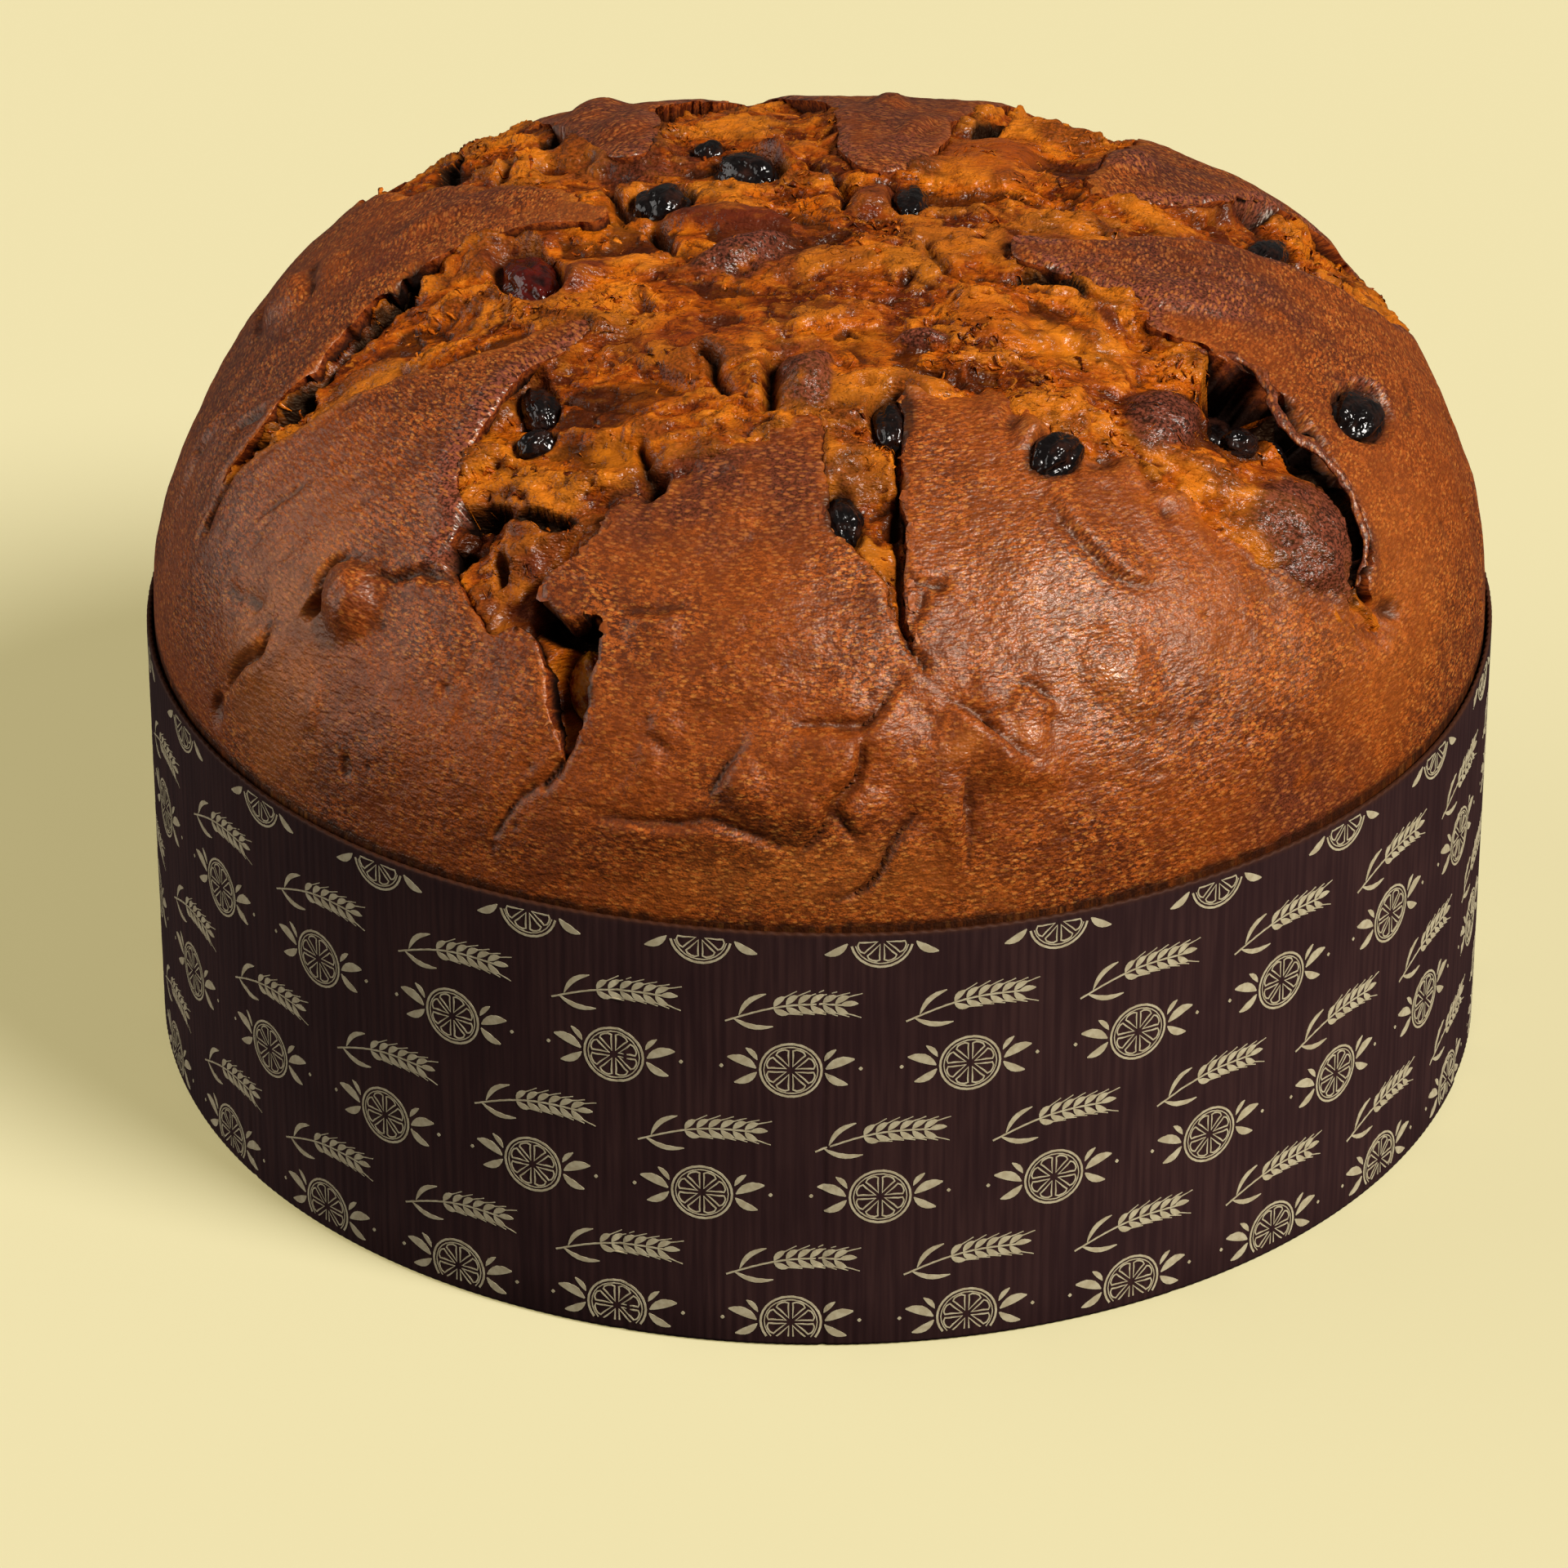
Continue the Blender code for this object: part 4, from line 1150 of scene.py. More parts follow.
def make_flakes(surface):
    """Ragged scraps of skin along the crisp edges of the tear."""
    pick = np.random.default_rng(23)

    # Where they sit: on the ragged outline, along the crisp lips
    spots = []
    for name, (path, _, _, _, soft, _) in TORN_EDGES.items():
        if soft < 0.2 and name not in SMOOTH_LIPS:
            line = cut_corners(path)
            length = run_along(line)[-1]
            spots.append(points_at(line, pick.uniform(0.0, length, int(length * FLAKES_PER_MM))))
    spots = np.vstack(spots)
    count = len(spots)
    places = spots
    for _ in range(3):
        places = spots - (ragged(places, STAR_SEED) - places)
    across = star_slope(places)
    along = np.column_stack([-across[:, 1], across[:, 0]])
    moved, height, under, _ = crust(places - 0.6 * across, cell=0.7)

    # Outlines: u along the edge and v out over the crumb, a little curled
    corners = len(FLAKE)
    u = FLAKE[:, 0] * pick.uniform(0.9, 3.2, (count, 1)) + pick.normal(0.0, 0.07, (count, corners))
    v = FLAKE[:, 1] * np.where(FLAKE[:, 1] > 0, pick.uniform(0.2, 1.2, (count, 1)), 1.0)
    v = v * pick.uniform(0.75, 1.2, (count, corners))
    lift = 0.08 + v * np.minimum(pick.normal(-0.3, 0.3, (count, 1)), 0.12) * (v > 0) + 0.12 * v * (v < 0)
    spread = moved[:, None] + along[:, None] * u[..., None] + across[:, None] * v[..., None]
    points, normals = dome_point(spread.reshape(-1, 2))
    top = points + normals * (np.repeat(height, corners) + lift.ravel())[:, None]
    thick = np.where(v > 0.3, 0.14, 0.4).ravel()
    points = np.stack([top, top - normals * thick[:, None]], axis=1).reshape(count, corners, 2, 3)
    points = points.transpose(0, 2, 1, 3).reshape(-1, 3)

    # Faces above, below and round the edge, and the marks
    base = (np.arange(count) * 2 * corners)[:, None]
    ring = np.arange(corners)
    faces = (base + ring[::-1]).tolist() + (base + corners + ring).tolist()
    for k in range(corners):
        after = (k + 1) % corners
        faces += (base + (k, after, corners + after, corners + k)).tolist()
    each = 2 * corners
    marks = {key: np.repeat(under[key], each) for key in ("burn", "red", "gloss")}
    marks["pale"] = np.repeat(pick.uniform(0.0, 0.5, count), each) * (1.0 - marks["burn"])
    marks["flat"] = np.column_stack([np.repeat(moved, each, axis=0), points[:, 2]])
    marks["flat"] = marks["around"] = marks["flat"] + points * (0.5, 0.5, 0.0)
    made = new_mesh("skin_flakes", points, faces, surface, marks, smooth_shading=False)
    return add_piece(made, "baked_crust")


def make_strap(surface):
    """The thin curled edge of skin that stands free over the crack on the right."""
    stations, sides = 150, 10
    path = cut_corners(STRAP)
    share = np.linspace(0.0, 1.0, stations)
    places = points_at(path, share * run_along(path)[-1])
    drift = np.column_stack([noise(places, 5.0, 171), noise(places, 2.4, 172)])
    places = places + drift * (0.9, 0.6) * np.sin(share * math.pi)[:, None]

    # Middle line over the crack, with its ends sunk in the skin
    points, normals = dome_point(places)
    lift = np.interp(share, [0, 0.12, 0.5, 0.9, 1.0], [-0.6, 0.9, 1.1, 0.8, -0.6])
    middle = points + normals * (lift + 0.5 * noise(places, 4.0, 173))[:, None]
    forward = np.gradient(middle, axis=0)
    forward /= np.linalg.norm(forward, axis=1)[:, None]
    side = np.cross(normals, forward)

    # Curled cross-sections with uneven edges
    turn = 0.5 + 0.7 * noise(places, 9.0, 174) + 0.5 * noise(places, 3.0, 175)
    broad = (1.05 + 0.6 * noise(places, 3.6, 176)) * np.sin(math.pi * (0.06 + 0.88 * share)) ** 0.5
    uneven = [1.0 + 0.45 * noise(places, 1.9, seed) for seed in (178, 179)]
    rings = []
    for angle in np.arange(sides) * 2 * math.pi / sides:
        out = np.cos(angle) * broad * uneven[int(np.cos(angle) < 0)]
        up = np.sin(angle) * 0.15 - 0.4 * np.cos(angle) ** 2 * broad
        rings.append(
            middle + side * (out * np.cos(turn) - up * np.sin(turn))[:, None]
            + normals * (out * np.sin(turn) + up * np.cos(turn))[:, None]
        )

    # Faces and marks
    points = np.stack(rings, axis=1).reshape(-1, 3)
    corner = np.arange(stations * sides).reshape(stations, sides)
    beside = np.roll(corner, -1, axis=1)
    faces = np.stack([corner[:-1], beside[:-1], beside[1:], corner[1:]], axis=-1)
    faces = faces.reshape(-1, 4).tolist() + [corner[0, ::-1].tolist(), corner[-1].tolist()]
    char = np.clip(0.75 + 0.6 * noise(points, 4.0, 177), 0.0, 1.0)
    marks = {"burn": char, "gloss": np.full(len(points), 0.3), "flat": points, "around": points}
    return add_piece(new_mesh("skin_strap", points, faces, surface, marks), "baked_crust")


def seat_axes(place, turn):
    """Axes at a place of the dome: along the turn, across it, and out of the dome."""
    points, normals = dome_point(np.array([place, (place[0] + 0.5, place[1])]))
    up = Vector(normals[0])
    side = Vector(points[1] - points[0])
    side = (side - up * side.dot(up)).normalized()
    turned = Matrix.Rotation(math.radians(turn), 3, up) @ side
    return Matrix((turned, up.cross(turned), up)).transposed()


def make_nugget(name, node, spec, surface, slot, seed, wrinkle):
    """A wrinkled raisin or a lump of peel, in the place of its plain solid."""
    x, y, length, width, thickness, turn = spec
    low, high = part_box(node)
    middle = np.array((low + high) / 2) / MM

    # A round body, from end to end
    sides, rings = 56, 34
    lengthwise = np.linspace(0.0, math.pi, rings + 1)[1:-1]
    round_turn = np.arange(sides) * 2 * math.pi / sides
    along, about = np.meshgrid(lengthwise, round_turn, indexing="ij")
    round_off = np.sin(along)
    body = np.stack([np.cos(along), round_off * np.cos(about), round_off * np.sin(about)], axis=-1)
    body = np.vstack([[[1.0, 0, 0]], body.reshape(-1, 3), [[-1.0, 0, 0]]])

    # Wrinkles: furrows along it, creases and a swell
    heading = np.arctan2(body[:, 2], body[:, 1])
    fade = np.sqrt(np.maximum(1 - body[:, 0] ** 2, 0.0))
    offset = seed * 3.7
    lean = heading + 0.5 * noise(body + offset, 0.9, seed)
    furrows = np.abs(np.sin(2.5 * lean + 1.4 * body[:, 0])) ** 0.7 * fade
    creases = 1.0 - 2.2 * np.abs(noise(body * (0.55, 1, 1) + offset, 0.42, seed + 3))
    swell = 0.90 + wrinkle * (0.16 * (furrows - 0.6) + 0.07 * creases)
    swell += 0.09 * noise(body + offset, 0.8, seed + 5)
    shape = body * np.clip(swell, 0.6, 1.06)[:, None] * np.array([length, width, thickness]) / 2

    # The body in its seat, and its faces
    axes = np.array(seat_axes((x, y), turn))
    points = shape @ axes.T + middle
    faces = []
    rows = 1 + np.arange((rings - 1) * sides).reshape(rings - 1, sides)
    for first, second in zip(rows[:-1], rows[1:]):
        faces += np.roll(band_quads(second, first), 1, axis=-1).tolist()
    faces += fan(rows[0], 0) + fan(rows[-1][::-1], len(points) - 1)
    ruby = np.full(len(points), float(node == RUBY))
    marks = {"flat": shape + offset, "crease": creases, "ruby": ruby}
    return add_piece(new_mesh(name, points, faces, surface, marks), slot, node)


# The paper case and its print
RIBS = 440
RIB_DEPTH = 0.035
BEADS = 330
OUTSIDE = CASE_RADIUS - 0.12
# Creases of the wall: azimuth in degrees, and depth
CREASES = ((253.8, 0.16), (270.4, 0.20), (301.0, 0.10), (214.0, 0.12), (40.0, 0.14), (128.0, 0.12))
SEAM = 342.6
MOTIFS_ROUND = 25
PRINT_LOW, PRINT_HIGH = 1.5, CASE_HEIGHT - 1.7
INK_PROUD, INK_ROOT = 0.03, 0.1


def wall_radius(azimuth, rib_depth=RIB_DEPTH):
    """Outer radius of the case at an azimuth in degrees: ribs, creases and the seam."""
    radius = OUTSIDE - rib_depth + rib_depth * np.cos(np.radians(azimuth) * RIBS)
    for at, depth in CREASES:
        radius = radius - depth * np.exp(-(((azimuth - at + 180) % 360 - 180) / 0.35) ** 2)
    past = (azimuth - SEAM) % 360
    return radius - 0.22 * np.exp(-past / 9.0) * smooth(0.0, 0.25, past)


def make_case(surface):
    """The ribbed case: rings of its profile, closed by its floor inside and below."""
    columns = 4 * RIBS
    azimuth = np.arange(columns) * 360.0 / columns
    angle = np.radians(azimuth)
    outer = wall_radius(azimuth)
    top = CASE_HEIGHT - 0.55 + 0.22 * np.sin(3 * angle + 0.6) + 0.14 * np.sin(7 * angle + 2.0)
    bead = np.cos(angle * BEADS)
    rim_top = top + 0.12 * bead
    inner = CASE_RADIUS - 0.85 + 0.12 * bead
    wall = [(outer - 0.9, 0.0), (outer - 0.25, 0.25), (outer, 0.9)]
    wall += [(outer, level) for level in (9.0, 18.0, 27.0, 36.0, 45.0, 54.0, 62.0, 69.0)]
    wall += [(outer, top - 0.9)]
    worn = [(outer, top - 0.4)]
    edge = [(outer - 0.04, rim_top - 0.1), (outer - 0.22, rim_top), (inner + 0.14, rim_top)]
    beaded = [(inner, rim_top - 0.12), (inner, top - 0.8)]
    lining = [(inner, top - 6.0)]
    lining += [(np.full(columns, CASE_RADIUS - 1.0), level) for level in (56.0, 30.0, 1.0)]

    # Stretches of the profile: rings, and how much they show of bare kraft and of the inside
    stretches = (
        (wall, 0.0, 0.0),
        (worn, 0.25, 0.0),
        (edge, 1.0, 0.0),
        (beaded, 1.0, 1.0),
        (lining, 0.0, 1.0),
    )
    rows, bare, lined = [], [], []
    for profile, kraft, inside in stretches:
        for radius, level in profile:
            rows.append(np.column_stack([radius * np.cos(angle), radius * np.sin(angle), level + 0 * angle]))
            bare.append(kraft)
            lined.append(inside)
    count = len(rows)
    points = np.vstack([*rows, [[0, 0, 1.0]], [[0, 0, 0.0]]])
    index = np.arange(count * columns).reshape(count, columns)
    faces = []
    for lower, upper in zip(index[:-1], index[1:]):
        faces += band_quads(lower, upper).tolist()
    faces += fan(index[-1], count * columns) + fan(index[0][::-1], count * columns + 1)
    marks = padded({"kraft": np.repeat(bare, columns), "inside": np.repeat(lined, columns)}, 2)
    wrap = np.zeros((len(points), 3))
    wrap[:-2, 0] = np.tile(angle * CASE_RADIUS, count)
    wrap[:-2, 1] = np.concatenate([row[:, 2] for row in rows])
    marks["wrap"] = wrap
    return add_piece(new_mesh("printed_case", points, faces, surface, marks), "case_paper", "paper_case")


def band(path, widths, closed=False):
    """A painted stroke: points to the left and right of a path, for each of its points."""
    path = np.asarray(path, dtype=float)
    if closed:
        ahead, behind = np.roll(path, -1, axis=0), np.roll(path, 1, axis=0)
    else:
        ahead, behind = np.vstack([path[1:], path[-1:]]), np.vstack([path[:1], path[:-1]])
    run = ahead - behind
    run /= np.maximum(np.linalg.norm(run, axis=1), 1e-9)[:, None]
    side = np.column_stack([-run[:, 1], run[:, 0]]) * (np.asarray(widths) / 2).reshape(-1, 1)
    left, right = path + side, path - side
    if closed:
        left, right = np.vstack([left, left[:1]]), np.vstack([right, right[:1]])
    return left, right


def leaf(start, end, width, bend, stations):
    """A filled leaf between two points."""
    start, end = np.array(start, float), np.array(end, float)
    share = np.linspace(0.0, 1.0, stations)
    run = end - start
    side = np.array([-run[1], run[0]])
    path = start + share[:, None] * run + (bend * np.sin(share * math.pi))[:, None] * side
    return band(path, width * np.sin(share * math.pi * 0.96 + 0.06) ** 0.8 + 0.02)


def ring(radius, width, count):
    """A painted circle."""
    turn = np.linspace(0.0, 2 * math.pi, count, endpoint=False)
    path = np.column_stack([radius * np.cos(turn), radius * np.sin(turn)])
    return band(path, np.full(count, width), closed=True)


def citrus_motif():
    """A slice of citrus between four leaves."""
    strokes = [ring(4.5, 0.34, 30), ring(3.95, 0.16, 26)]
    wedge = [(0.75, 0.0), (2.6, 14.5), (3.35, 17.0), (3.62, 9.0), (3.66, 0.0)]
    wedge += [(distance, -spread) for distance, spread in wedge[-2:0:-1]]
    for k in range(8):
        turns = [(distance, math.radians(45 * k + 22.5 + spread)) for distance, spread in wedge]
        path = [(distance * math.cos(turn), distance * math.sin(turn)) for distance, turn in turns]
        strokes.append(band(path, np.full(len(path), 0.24), closed=True))
    for side in (-1, 1):
        for (x0, y0), (x1, y1), width, bend, stations in (
            ((5.1, 0.2), (9.3, 1.9), 1.5, 0.10, 7),
            ((5.0, -0.5), (8.3, -2.4), 1.2, -0.10, 7),
            ((4.9, 1.6), (6.6, 3.6), 0.8, 0.08, 5),
            ((9.9, 0.3), (10.5, 0.3), 0.6, 0.0, 4),
        ):
            strokes.append(leaf((side * x0, y0), (side * x1, y1), width, side * bend, stations))
    return strokes


def wheat_motif():
    """An ear of wheat on a bent stalk with two long leaves."""
    (x0, y0), (long, high), bow = (-9.6, -3.0), (17.0, 3.2), 1.3

    def stalk(share):
        return x0 + long * share, y0 + high * share + bow * np.sin(share * math.pi)

    path = np.column_stack(stalk(np.linspace(0.0, 1.0, 13)))
    strokes = [band(path, np.full(len(path), 0.26))]
    for k in range(6):
        at = 0.42 + 0.105 * k
        x, y = stalk(at)
        heading = math.atan2(high + bow * math.pi * math.cos(at * math.pi), long)
        for side in (-1, 1):
            turn = heading + side * 0.55
            tip = (x + 2.3 * math.cos(turn), y + 2.3 * math.sin(turn) + side * 0.25)
            strokes.append(leaf((x, y + side * 0.2), tip, 0.95, side * 0.10, 6))
            out = heading + side * 0.30
            end = (tip[0] + 2.0 * math.cos(out), tip[1] + 2.0 * math.sin(out))
            strokes.append(band([tip, end], [0.16, 0.12]))
    return strokes + [
        leaf((7.2, 0.2), (9.8, 0.4), 0.9, 0.05, 6),
        leaf((-8.4, -2.5), (-2.6, -3.6), 0.8, -0.12, 8),
        leaf((-7.6, -1.9), (-3.6, 1.9), 0.8, 0.14, 8),
    ]


def add_stroke(points, faces, left, right, along, level):
    """One stroke laid on the wall of the case as a thin closed strip."""
    start = len(points)
    for a, b in zip(left, right):
        for x, y in (a, b):
            turn = (along + x) / CASE_RADIUS
            radius = wall_radius(math.degrees(turn) % 360.0, 0.0)
            for r in (radius + INK_PROUD, radius - INK_ROOT):
                points.append((r * math.cos(turn), r * math.sin(turn), level + y))
    for k in range(len(left) - 1):
        a = start + 4 * k
        for p, q in ((0, 2), (2, 3), (3, 1), (1, 0)):
            faces.append((a + q, a + p, a + 4 + p, a + 4 + q))
    a = start + 4 * (len(left) - 1)
    faces.append((start, start + 2, start + 3, start + 1))
    faces.append((a + 1, a + 3, a + 2, a))


def make_print(name, motif, rows, shift, surface):
    """Rows of a motif round the case, at levels and shifted by a share of their pitch."""
    pitch = 2 * math.pi * CASE_RADIUS / MOTIFS_ROUND
    points, faces = [], []
    for row, level in enumerate(rows):
        for column in range(MOTIFS_ROUND):
            along = (column + shift + 0.5 * (row % 2)) * pitch
            for left, right in motif:
                above = np.minimum(left[:, 1], right[:, 1]) + level > PRINT_LOW
                below = np.maximum(left[:, 1], right[:, 1]) + level < PRINT_HIGH
                kept = np.flatnonzero(above & below)
                for run in np.split(kept, np.flatnonzero(np.diff(kept) > 1) + 1):
                    if len(run) > 1:
                        add_stroke(points, faces, left[run], right[run], along, level)
    return add_piece(new_mesh(name, points, faces, surface, smooth_shading=False), None)


# Surfaces of the pieces
def colour(red, green, blue):
    """A screen colour, 0 to 255, as the linear colour that Blender takes."""
    def linear(value):
        value /= 255.0
        return value / 12.92 if value <= 0.04045 else ((value + 0.055) / 1.055) ** 2.4

    return (linear(red), linear(green), linear(blue), 1.0)


def grey(value):
    return (value, value, value, 1)


class Surface:
    """Builds a material's nodes with short calls. A value is a number, a colour or a socket."""

    def __init__(self, name):
        self.material = bpy.data.materials.new(name)
        self.material.use_nodes = True
        self.tree = self.material.node_tree
        self.shader = self.tree.nodes["Principled BSDF"]

    def put(self, socket, value):
        if isinstance(value, bpy.types.NodeSocket):
            self.tree.links.new(value, socket)
        else:
            socket.default_value = value

    def set(self, **values):
        for key, value in values.items():
            self.put(self.shader.inputs[key.replace("_", " ")], value)

    def mark(self, name):
        node = self.tree.nodes.new("ShaderNodeAttribute")
        node.attribute_name = name
        return node.outputs["Fac"]

    def place(self, name, scale=(1, 1, 1)):
        node = self.tree.nodes.new("ShaderNodeAttribute")
        node.attribute_name = name
        stretch = self.tree.nodes.new("ShaderNodeVectorMath")
        stretch.operation = "MULTIPLY"
        self.put(stretch.inputs[0], node.outputs["Vector"])
        stretch.inputs[1].default_value = scale
        return stretch.outputs[0]

    def noise(self, place, scale, detail=2.0, rough=0.5, twist=0.0):
        node = self.tree.nodes.new("ShaderNodeTexNoise")
        self.put(node.inputs["Vector"], place)
        node.inputs["Scale"].default_value = scale
        node.inputs["Detail"].default_value = detail
        node.inputs["Roughness"].default_value = rough
        node.inputs["Distortion"].default_value = twist
        return node.outputs["Fac"]

    def cells(self, place, scale):
        node = self.tree.nodes.new("ShaderNodeTexVoronoi")
        self.put(node.inputs["Vector"], place)
        node.inputs["Scale"].default_value = scale
        return node.outputs["Distance"]

    def math(self, operation, first, second=0.0, third=0.0):
        node = self.tree.nodes.new("ShaderNodeMath")
        node.operation = operation
        for socket, value in zip(node.inputs, (first, second, third)):
            self.put(socket, value)
        return node.outputs[0]

    def times(self, first, second):
        return self.math("MULTIPLY", first, second)

    def between(self, value, low, high, start=0.0, end=1.0):
        node = self.tree.nodes.new("ShaderNodeMapRange")
        node.interpolation_type = "SMOOTHSTEP"
        for socket, number in zip(node.inputs, (value, low, high, start, end)):
            self.put(socket, number)
        return node.outputs[0]

    def mix(self, share, first, second):
        """Mixes two colours: the node's colour sockets are 6 and 7, and its output 2."""
        node = self.tree.nodes.new("ShaderNodeMix")
        node.data_type = "RGBA"
        self.put(node.inputs[0], share)
        self.put(node.inputs[6], first)
        self.put(node.inputs[7], second)
        return node.outputs[2]

    def layers(self, tone, *layers):
        """Lays colours over a tone.

        Each has its pattern, the values of the pattern with none and with the most of the
        colour, that most as a share, and the colour.
        """
        for pattern, none, full, most, rgb in layers:
            tone = self.mix(self.between(pattern, none, full, 0.0, most), tone, colour(*rgb))
        return tone

    def stains(self, tone, *stains):
        """Colours over a tone, each at a mark's places and as strong as its share says."""
        for mark, share, rgb in stains:
            tone = self.mix(self.times(self.mark(mark), share), tone, colour(*rgb))
        return tone

    def bump(self, height, distance, strength=1.0):
        node = self.tree.nodes.new("ShaderNodeBump")
        node.inputs["Strength"].default_value = strength
        node.inputs["Distance"].default_value = distance * MM
        self.put(node.inputs["Height"], height)
        return node.outputs[0]


def crust_surface():
    s = Surface("baked_crust")
    flat = s.place("flat")
    drawn = s.place("around", (1.0, 0.45, 0.45))
    grain = s.noise(drawn, 2.1, 3.0, 0.7, 0.3)
    fine = s.noise(flat, 2.3, 2.0, 0.6)
    flecks = s.cells(drawn, 1.5)
    middle = s.noise(flat, 0.16, 3.0, 0.6)
    broad = s.noise(flat, 0.035, 2.0, 0.5)
    patch = s.noise(flat, 0.42, 3.0, 0.6)
    crumbly = s.mark("crumb")
    relief = s.mark("relief")
    gloss = s.mark("gloss")
    painted_shade_mark = s.mark("deep")

    skin = s.layers(
        colour(84, 31, 4),
        (grain, 0.43, 0.58, 1.0, (180, 88, 26)),
        (flecks, 0.40, 0.20, 0.8, (214, 134, 56)),
        (fine, 0.47, 0.38, 0.7, (58, 22, 4)),
        (patch, 0.50, 0.68, 0.5, (88, 34, 4)),
        (patch, 0.42, 0.30, 0.45, (184, 98, 30)),
        (middle, 0.42, 0.66, 0.55, (88, 33, 5)),
        (broad, 0.35, 0.65, 0.4, (152, 68, 6)),
    )
    skin = s.stains(skin, ("fair", 0.4, (208, 118, 42)))
    # Painted shade in the skin's lows, where its relief lies below its surroundings
    skin = s.layers(skin, (relief, -0.1, -0.7, 0.5, (50, 18, 5)))

    mixed = s.mix(crumbly, skin, crumb_tone(s, flat, relief))
    mixed = stained(s, mixed, fine, middle, 0.74)
    specks = s.times(s.between(flecks, 0.46, 0.24, 0.0, 0.75), s.mark("burn"))
    specks = s.times(specks, s.between(painted_shade_mark, 0.0, 0.4, 1.0, 0.0))
    mixed = s.mix(specks, mixed, colour(186, 106, 46))
    sparks = s.between(grain, 0.44, 0.60, 0.15, 1.0)
    shine = s.times(sparks, s.math("MULTIPLY_ADD", gloss, 0.5, 0.08))
    shine = s.mix(painted_shade_mark, s.mix(shine, grey(0), grey(1)), grey(0))
    rough = s.mix(crumbly, s.mix(gloss, grey(0.47), grey(0.34)), grey(0.6))
    ridges = s.math("ADD", s.noise(drawn, 1.4, 1.0), s.times(s.noise(flat, 2.4, 0.0), 0.3))
    s.set(Base_Color=mixed, Roughness=rough, Normal=s.bump(ridges, 0.24))
    s.set(Coat_Weight=shine, Coat_Normal=s.bump(ridges, 0.28), Coat_Roughness=0.16, Coat_IOR=1.5)
    s.set(Specular_IOR_Level=0.45, Specular_Tint=(1.0, 0.86, 0.70, 1.0))
    return s.material


def wall_surface():
    """The torn sides of the skin: red brown at the edge, and darkened by painted shade to nearly black
    further down.
    """
    s = Surface("torn_sides")
    flat = s.place("flat")
    grain = s.noise(flat, 1.2, 3.0, 0.6)
    tone = s.layers(
        colour(84, 30, 8),
        (grain, 0.40, 0.62, 1.0, (146, 66, 18)),
        # Painted shade: nearly black down the torn sides
        (s.mark("wall"), 0.0, 0.55, 1.0, (26, 8, 2)),
    )
    # Painted shade in the hollows
    tone = s.mix(s.mark("deep"), tone, colour(14, 4, 1))
    s.set(Base_Color=tone, Roughness=0.7, Specular_IOR_Level=0.05, Normal=s.bump(grain, 0.3))
    return s.material


def crumb_tone(s, flat, relief):
    """Colour of the torn crumb: amber brown with thin dark lines, painted light on its ridges and painted
    shade in its lows.
    """
    strands = s.place("flat", (0.5, 1.0, 1.0))
    clump = s.noise(flat, 0.10, 5.0, 0.62, 0.5)
    grain = s.noise(strands, 0.8, 4.0, 0.72, 0.5)
    tone = s.layers(
        colour(92, 30, 1),
        (clump, 0.38, 0.50, 1.0, (156, 66, 3)),
        (clump, 0.50, 0.60, 1.0, (192, 92, 4)),
        (clump, 0.60, 0.70, 0.7, (218, 122, 16)),
        (grain, 0.46, 0.36, 0.8, (66, 19, 0)),
        (grain, 0.54, 0.64, 0.55, (226, 132, 34)),
        # Painted light on the ridges and painted shade in the lows of the relief; on the shreds, relief is a
        # random tone
        (relief, 0.1, 0.9, 0.5, (232, 136, 32)),
        (relief, -0.1, -0.9, 0.85, (52, 14, 0)),
    )
    winding = s.math("SUBTRACT", s.noise(flat, 0.24, 4.0, 0.65, 0.8), 0.5)
    lines = s.between(s.math("ABSOLUTE", winding), 0.0, 0.012, 1.0, 0.0)
    return s.mix(s.times(lines, 0.75), tone, colour(44, 12, 0))


def stained(s, tone, fine, middle, cover):
    """The tone with its amber, reddish, burnt and pale places, the char paled into a painted sheen where it
    is glossy, and painted shade in the pores and hollows.
    """
    tone = s.stains(tone, ("amber", 0.7, (170, 76, 6)), ("red", 0.8, (98, 32, 12)))
    # Painted sheen: the char turns pale pink where the surface is glossy
    char_painted_sheen = s.mix(s.mark("gloss"), colour(90, 36, 16), colour(156, 84, 66))
    char = s.mix(s.between(fine, 0.38, 0.62), colour(36, 13, 8), char_painted_sheen)
    uneven = s.math("MULTIPLY_ADD", middle, 0.5, -0.25)
    burn = s.between(s.math("ADD", s.mark("burn"), uneven), 0.0, 0.8)
    tone = s.mix(s.times(burn, cover), tone, char)
    # Paler edges, then painted shade in the crumb's pores and in the hollows
    tone = s.stains(tone, ("pale", 0.4, (190, 98, 26)), ("pore", 0.8, (50, 14, 0)))
    return s.mix(s.mark("deep"), tone, colour(26, 9, 3))


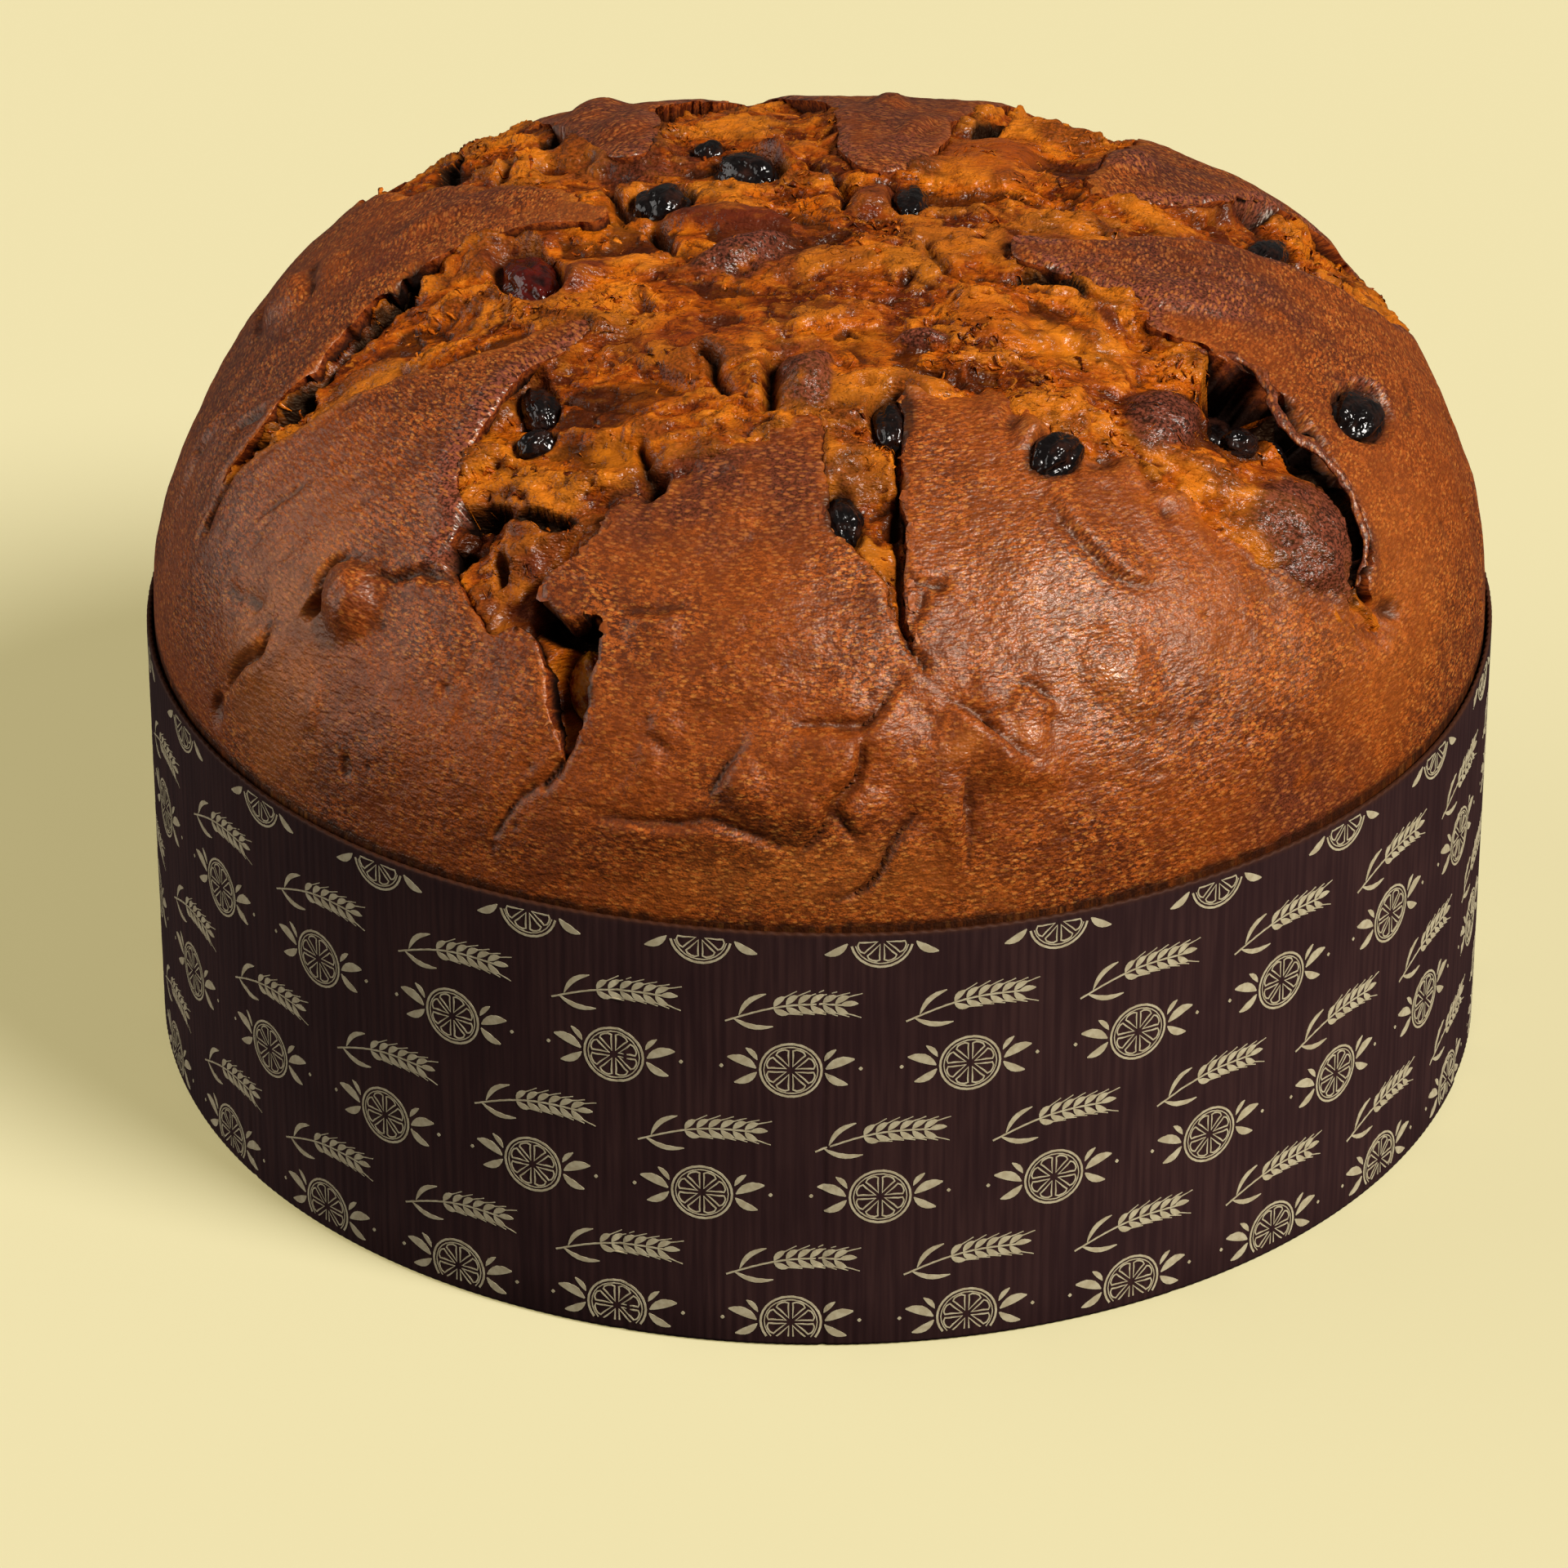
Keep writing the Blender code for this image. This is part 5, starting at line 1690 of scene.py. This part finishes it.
def crumb_surface():
    s = Surface("torn_crumb")
    flat = s.place("flat")
    strands = s.place("flat", (0.5, 1.0, 1.0))
    fine = s.noise(flat, 1.7, 2.0, 0.6)
    middle = s.noise(flat, 0.16, 3.0, 0.6)
    sheet = s.mark("sheet")
    baked = s.mix(s.between(fine, 0.40, 0.62), colour(70, 22, 3), colour(140, 62, 18))
    tone = crumb_tone(s, flat, s.mark("relief"))
    tone = s.stains(tone, ("fair", 0.75, (230, 130, 20)))
    tone = s.mix(s.times(s.mark("crusty"), 0.8), tone, baked)
    tone = stained(s, tone, fine, middle, 0.88)
    wet = s.between(s.noise(flat, 0.7, 3.0, 0.6), 0.46, 0.62, 0.05, 0.7)
    shine = s.math("MAXIMUM", wet, s.times(sheet, 0.3))
    shine = s.mix(s.mark("gloss"), shine, grey(0.6))
    shine = s.mix(s.mark("deep"), shine, grey(0))
    fibre = s.noise(strands, 1.4, 2.0, 0.5, 0.5)
    fibre = s.math("ADD", fibre, s.times(s.noise(flat, 2.2, 0.0), 0.35))
    frayed = s.times(fibre, s.math("MULTIPLY_ADD", sheet, -0.35, 1.35))
    s.set(Base_Color=tone, Roughness=0.55, Normal=s.bump(frayed, 0.36))
    s.set(Coat_Weight=shine, Coat_Normal=s.bump(frayed, 0.26), Coat_Roughness=0.22, Coat_IOR=1.45)
    s.set(Specular_IOR_Level=0.15, Specular_Tint=(1.0, 0.7, 0.4, 1.0))
    return s.material


def raisin_surface():
    s = Surface("raisin")
    flat = s.place("flat")
    patch = s.noise(flat, 0.35, 3.0, 0.6)
    tone = s.mix(s.between(patch, 0.45, 0.75), colour(12, 7, 7), colour(50, 26, 18))
    tone = s.stains(tone, ("ruby", s.between(patch, 0.35, 0.6, 0.3, 1.0), (84, 16, 8)))
    # Painted shade in the lows between the raisin's raised creases
    tone = s.mix(s.between(s.mark("crease"), -0.2, 0.6, 0.6, 0.0), tone, colour(6, 3, 3))
    rough = s.between(s.noise(flat, 0.8, 2.0), 0.35, 0.7, 0.10, 0.26)
    s.set(Base_Color=tone, Roughness=rough, Specular_IOR_Level=0.45)
    s.set(Normal=s.bump(s.noise(flat, 0.9, 1.0), 0.45))
    return s.material


def peel_surface():
    s = Surface("candied_peel")
    flat = s.place("flat")
    patch = s.noise(flat, 0.4, 4.0, 0.6)
    tone = s.mix(s.between(patch, 0.38, 0.62), colour(130, 46, 4), colour(232, 146, 34))
    s.set(Base_Color=tone, Roughness=0.22, Normal=s.bump(s.noise(flat, 0.9, 2.0), 0.6))
    s.set(Subsurface_Weight=0.25, Subsurface_Radius=(0.004, 0.0015, 0.0005), Subsurface_Scale=1.0)
    return s.material


def paper_surface():
    s = Surface("case_paper")
    wrap = s.place("wrap")
    streak = s.noise(s.place("wrap", (1.0, 0.04, 1.0)), 1.1, 2.0)
    cloud = s.noise(wrap, 0.05, 3.0)
    tone = s.layers(
        colour(48, 29, 29),
        (streak, 0.35, 0.65, 1.0, (60, 38, 36)),
        (cloud, 0.4, 0.7, 0.5, (43, 25, 26)),
    )
    tone = s.mix(s.mark("inside"), tone, colour(70, 40, 24))
    tone = s.mix(s.mark("kraft"), tone, colour(66, 36, 22))
    relief = s.bump(s.noise(s.place("wrap", (1.0, 0.15, 1.0)), 2.5, 2.0), 0.08, 0.25)
    s.set(Base_Color=tone, Roughness=0.6, Specular_IOR_Level=0.12, Normal=relief)
    return s.material


def ink_surface():
    s = Surface("case_ink")
    place = s.tree.nodes.new("ShaderNodeTexCoord").outputs["Object"]
    patch = s.between(s.noise(place, 900.0, 2.0), 0.35, 0.65)
    tone = s.mix(patch, colour(182, 168, 134), colour(200, 188, 154))
    s.set(Base_Color=tone, Roughness=0.5)
    return s.material


def floor_surface():
    s = Surface("studio_floor")
    s.set(Base_Color=FLOOR_LIT, Roughness=1.0, Specular_IOR_Level=0.0)
    s.set(Emission_Color=FLOOR_GLOW, Emission_Strength=1.0)
    return s.material


# The studio: its floor's half width in millimetres, and how far its lamps stand from the
# middle of the loaf, in metres
FLOOR_REACH = 6000.0
LOAF_MIDDLE = 0.07
LAMP_DISTANCE = 1.5


def make_floor():
    corners = [(x * FLOOR_REACH, y * FLOOR_REACH, 0) for x, y in ((-1, -1), (1, -1), (1, 1), (-1, 1))]
    floor = new_mesh("studio_floor", corners, [(0, 1, 2, 3)], floor_surface(), smooth_shading=False)
    floor.visible_diffuse = False
    floor.visible_glossy = False


def soft_light(name, azimuth, elevation, spread, strength, tint):
    """A broad lamp far away, as a large softbox gives: its spread is in degrees."""
    light = bpy.data.lights.new(name, "SUN")
    light.angle = math.radians(spread)
    light.energy = strength
    light.color = tint
    lamp = bpy.data.objects.new(name, light)
    a, e = math.radians(azimuth), math.radians(elevation)
    way = Vector((math.cos(e) * math.cos(a), math.cos(e) * math.sin(a), math.sin(e)))
    lamp.location = Vector((0, 0, LOAF_MIDDLE)) + LAMP_DISTANCE * way
    lamp.rotation_euler = (-way).to_track_quat("-Z", "Y").to_euler()
    bpy.context.scene.collection.objects.link(lamp)


def make_light():
    soft_light("key_light", azimuth=-35, elevation=42, spread=22, strength=4.2, tint=(1.0, 0.96, 0.90))
    soft_light("left_light", azimuth=176, elevation=12, spread=60, strength=1.6, tint=(1.0, 0.95, 0.90))

    # A faint glow from all round, stronger from above
    world = bpy.data.worlds.new("studio")
    bpy.context.scene.world = world
    world.use_nodes = True
    tree = world.node_tree
    way = tree.nodes.new("ShaderNodeSeparateXYZ")
    tree.links.new(tree.nodes.new("ShaderNodeTexCoord").outputs["Generated"], way.inputs[0])
    fade = tree.nodes.new("ShaderNodeMapRange")
    for name, value in (("From Min", -0.3), ("From Max", 0.3), ("To Min", 0.05), ("To Max", 0.12)):
        fade.inputs[name].default_value = value
    tree.links.new(way.outputs["Z"], fade.inputs["Value"])
    back = tree.nodes["Background"]
    back.inputs["Color"].default_value = (1.0, 0.94, 0.86, 1)
    tree.links.new(fade.outputs[0], back.inputs["Strength"])


# The camera: its focal length and the shift of the view in pixels of the 1920-pixel frame,
# its elevation in degrees, and its distance and target in metres
FRAME = 1920.0
FOCAL_LENGTH = 9160.0
VIEW_SHIFT = (-42.5, -90.0)
CAMERA_ELEVATION = 29.2
CAMERA_DISTANCE = 1.18
TARGET_LEVEL = 0.05
SENSOR = 36.0


def make_camera():
    elevation = math.radians(CAMERA_ELEVATION)
    back = Vector((0, -math.cos(elevation), math.sin(elevation)))
    up = Vector((0, math.sin(elevation), math.cos(elevation)))
    camera = bpy.data.cameras.new("camera")
    camera.sensor_width = SENSOR
    camera.lens = SENSOR * (FOCAL_LENGTH / FRAME)
    camera.clip_start = 0.05
    camera.dof.use_dof = False
    viewer = bpy.data.objects.new("camera", camera)
    viewer.location = Vector((0, 0, TARGET_LEVEL)) + CAMERA_DISTANCE * back
    right, higher = (shift / FOCAL_LENGTH for shift in VIEW_SHIFT)
    forward = -back + Vector((1, 0, 0)) * right + up * higher
    viewer.rotation_euler = forward.to_track_quat("-Z", "Y").to_euler()
    bpy.context.scene.collection.objects.link(viewer)
    bpy.context.scene.camera = viewer


def main():
    skin = crust_surface()
    make_loaf(skin, wall_surface())
    make_strap(skin)
    make_flakes(skin)
    torn = crumb_surface()
    make_crumb(torn)
    make_shreds(torn)
    dried = raisin_surface()
    for number, (node, spec) in enumerate(NUGGETS[:-1], start=1):
        make_nugget("wrinkled_" + node, node, spec, dried, "raisin", seed=number, wrinkle=1.0)
    zest = peel_surface()
    make_nugget("peel_lump", "candied_peel", PEEL, zest, "candied_peel", seed=40, wrinkle=0.9)
    make_case(paper_surface())
    ink = ink_surface()
    make_print("citrus_print", citrus_motif(), rows=(70.5, 48.5, 26.5, 4.5), shift=0.10, surface=ink)
    make_print("wheat_print", wheat_motif(), rows=(59.5, 37.5, 15.5), shift=0.60, surface=ink)
    make_floor()
    make_light()
    make_camera()
    bpy.context.scene.view_settings.view_transform = "Standard"


main()
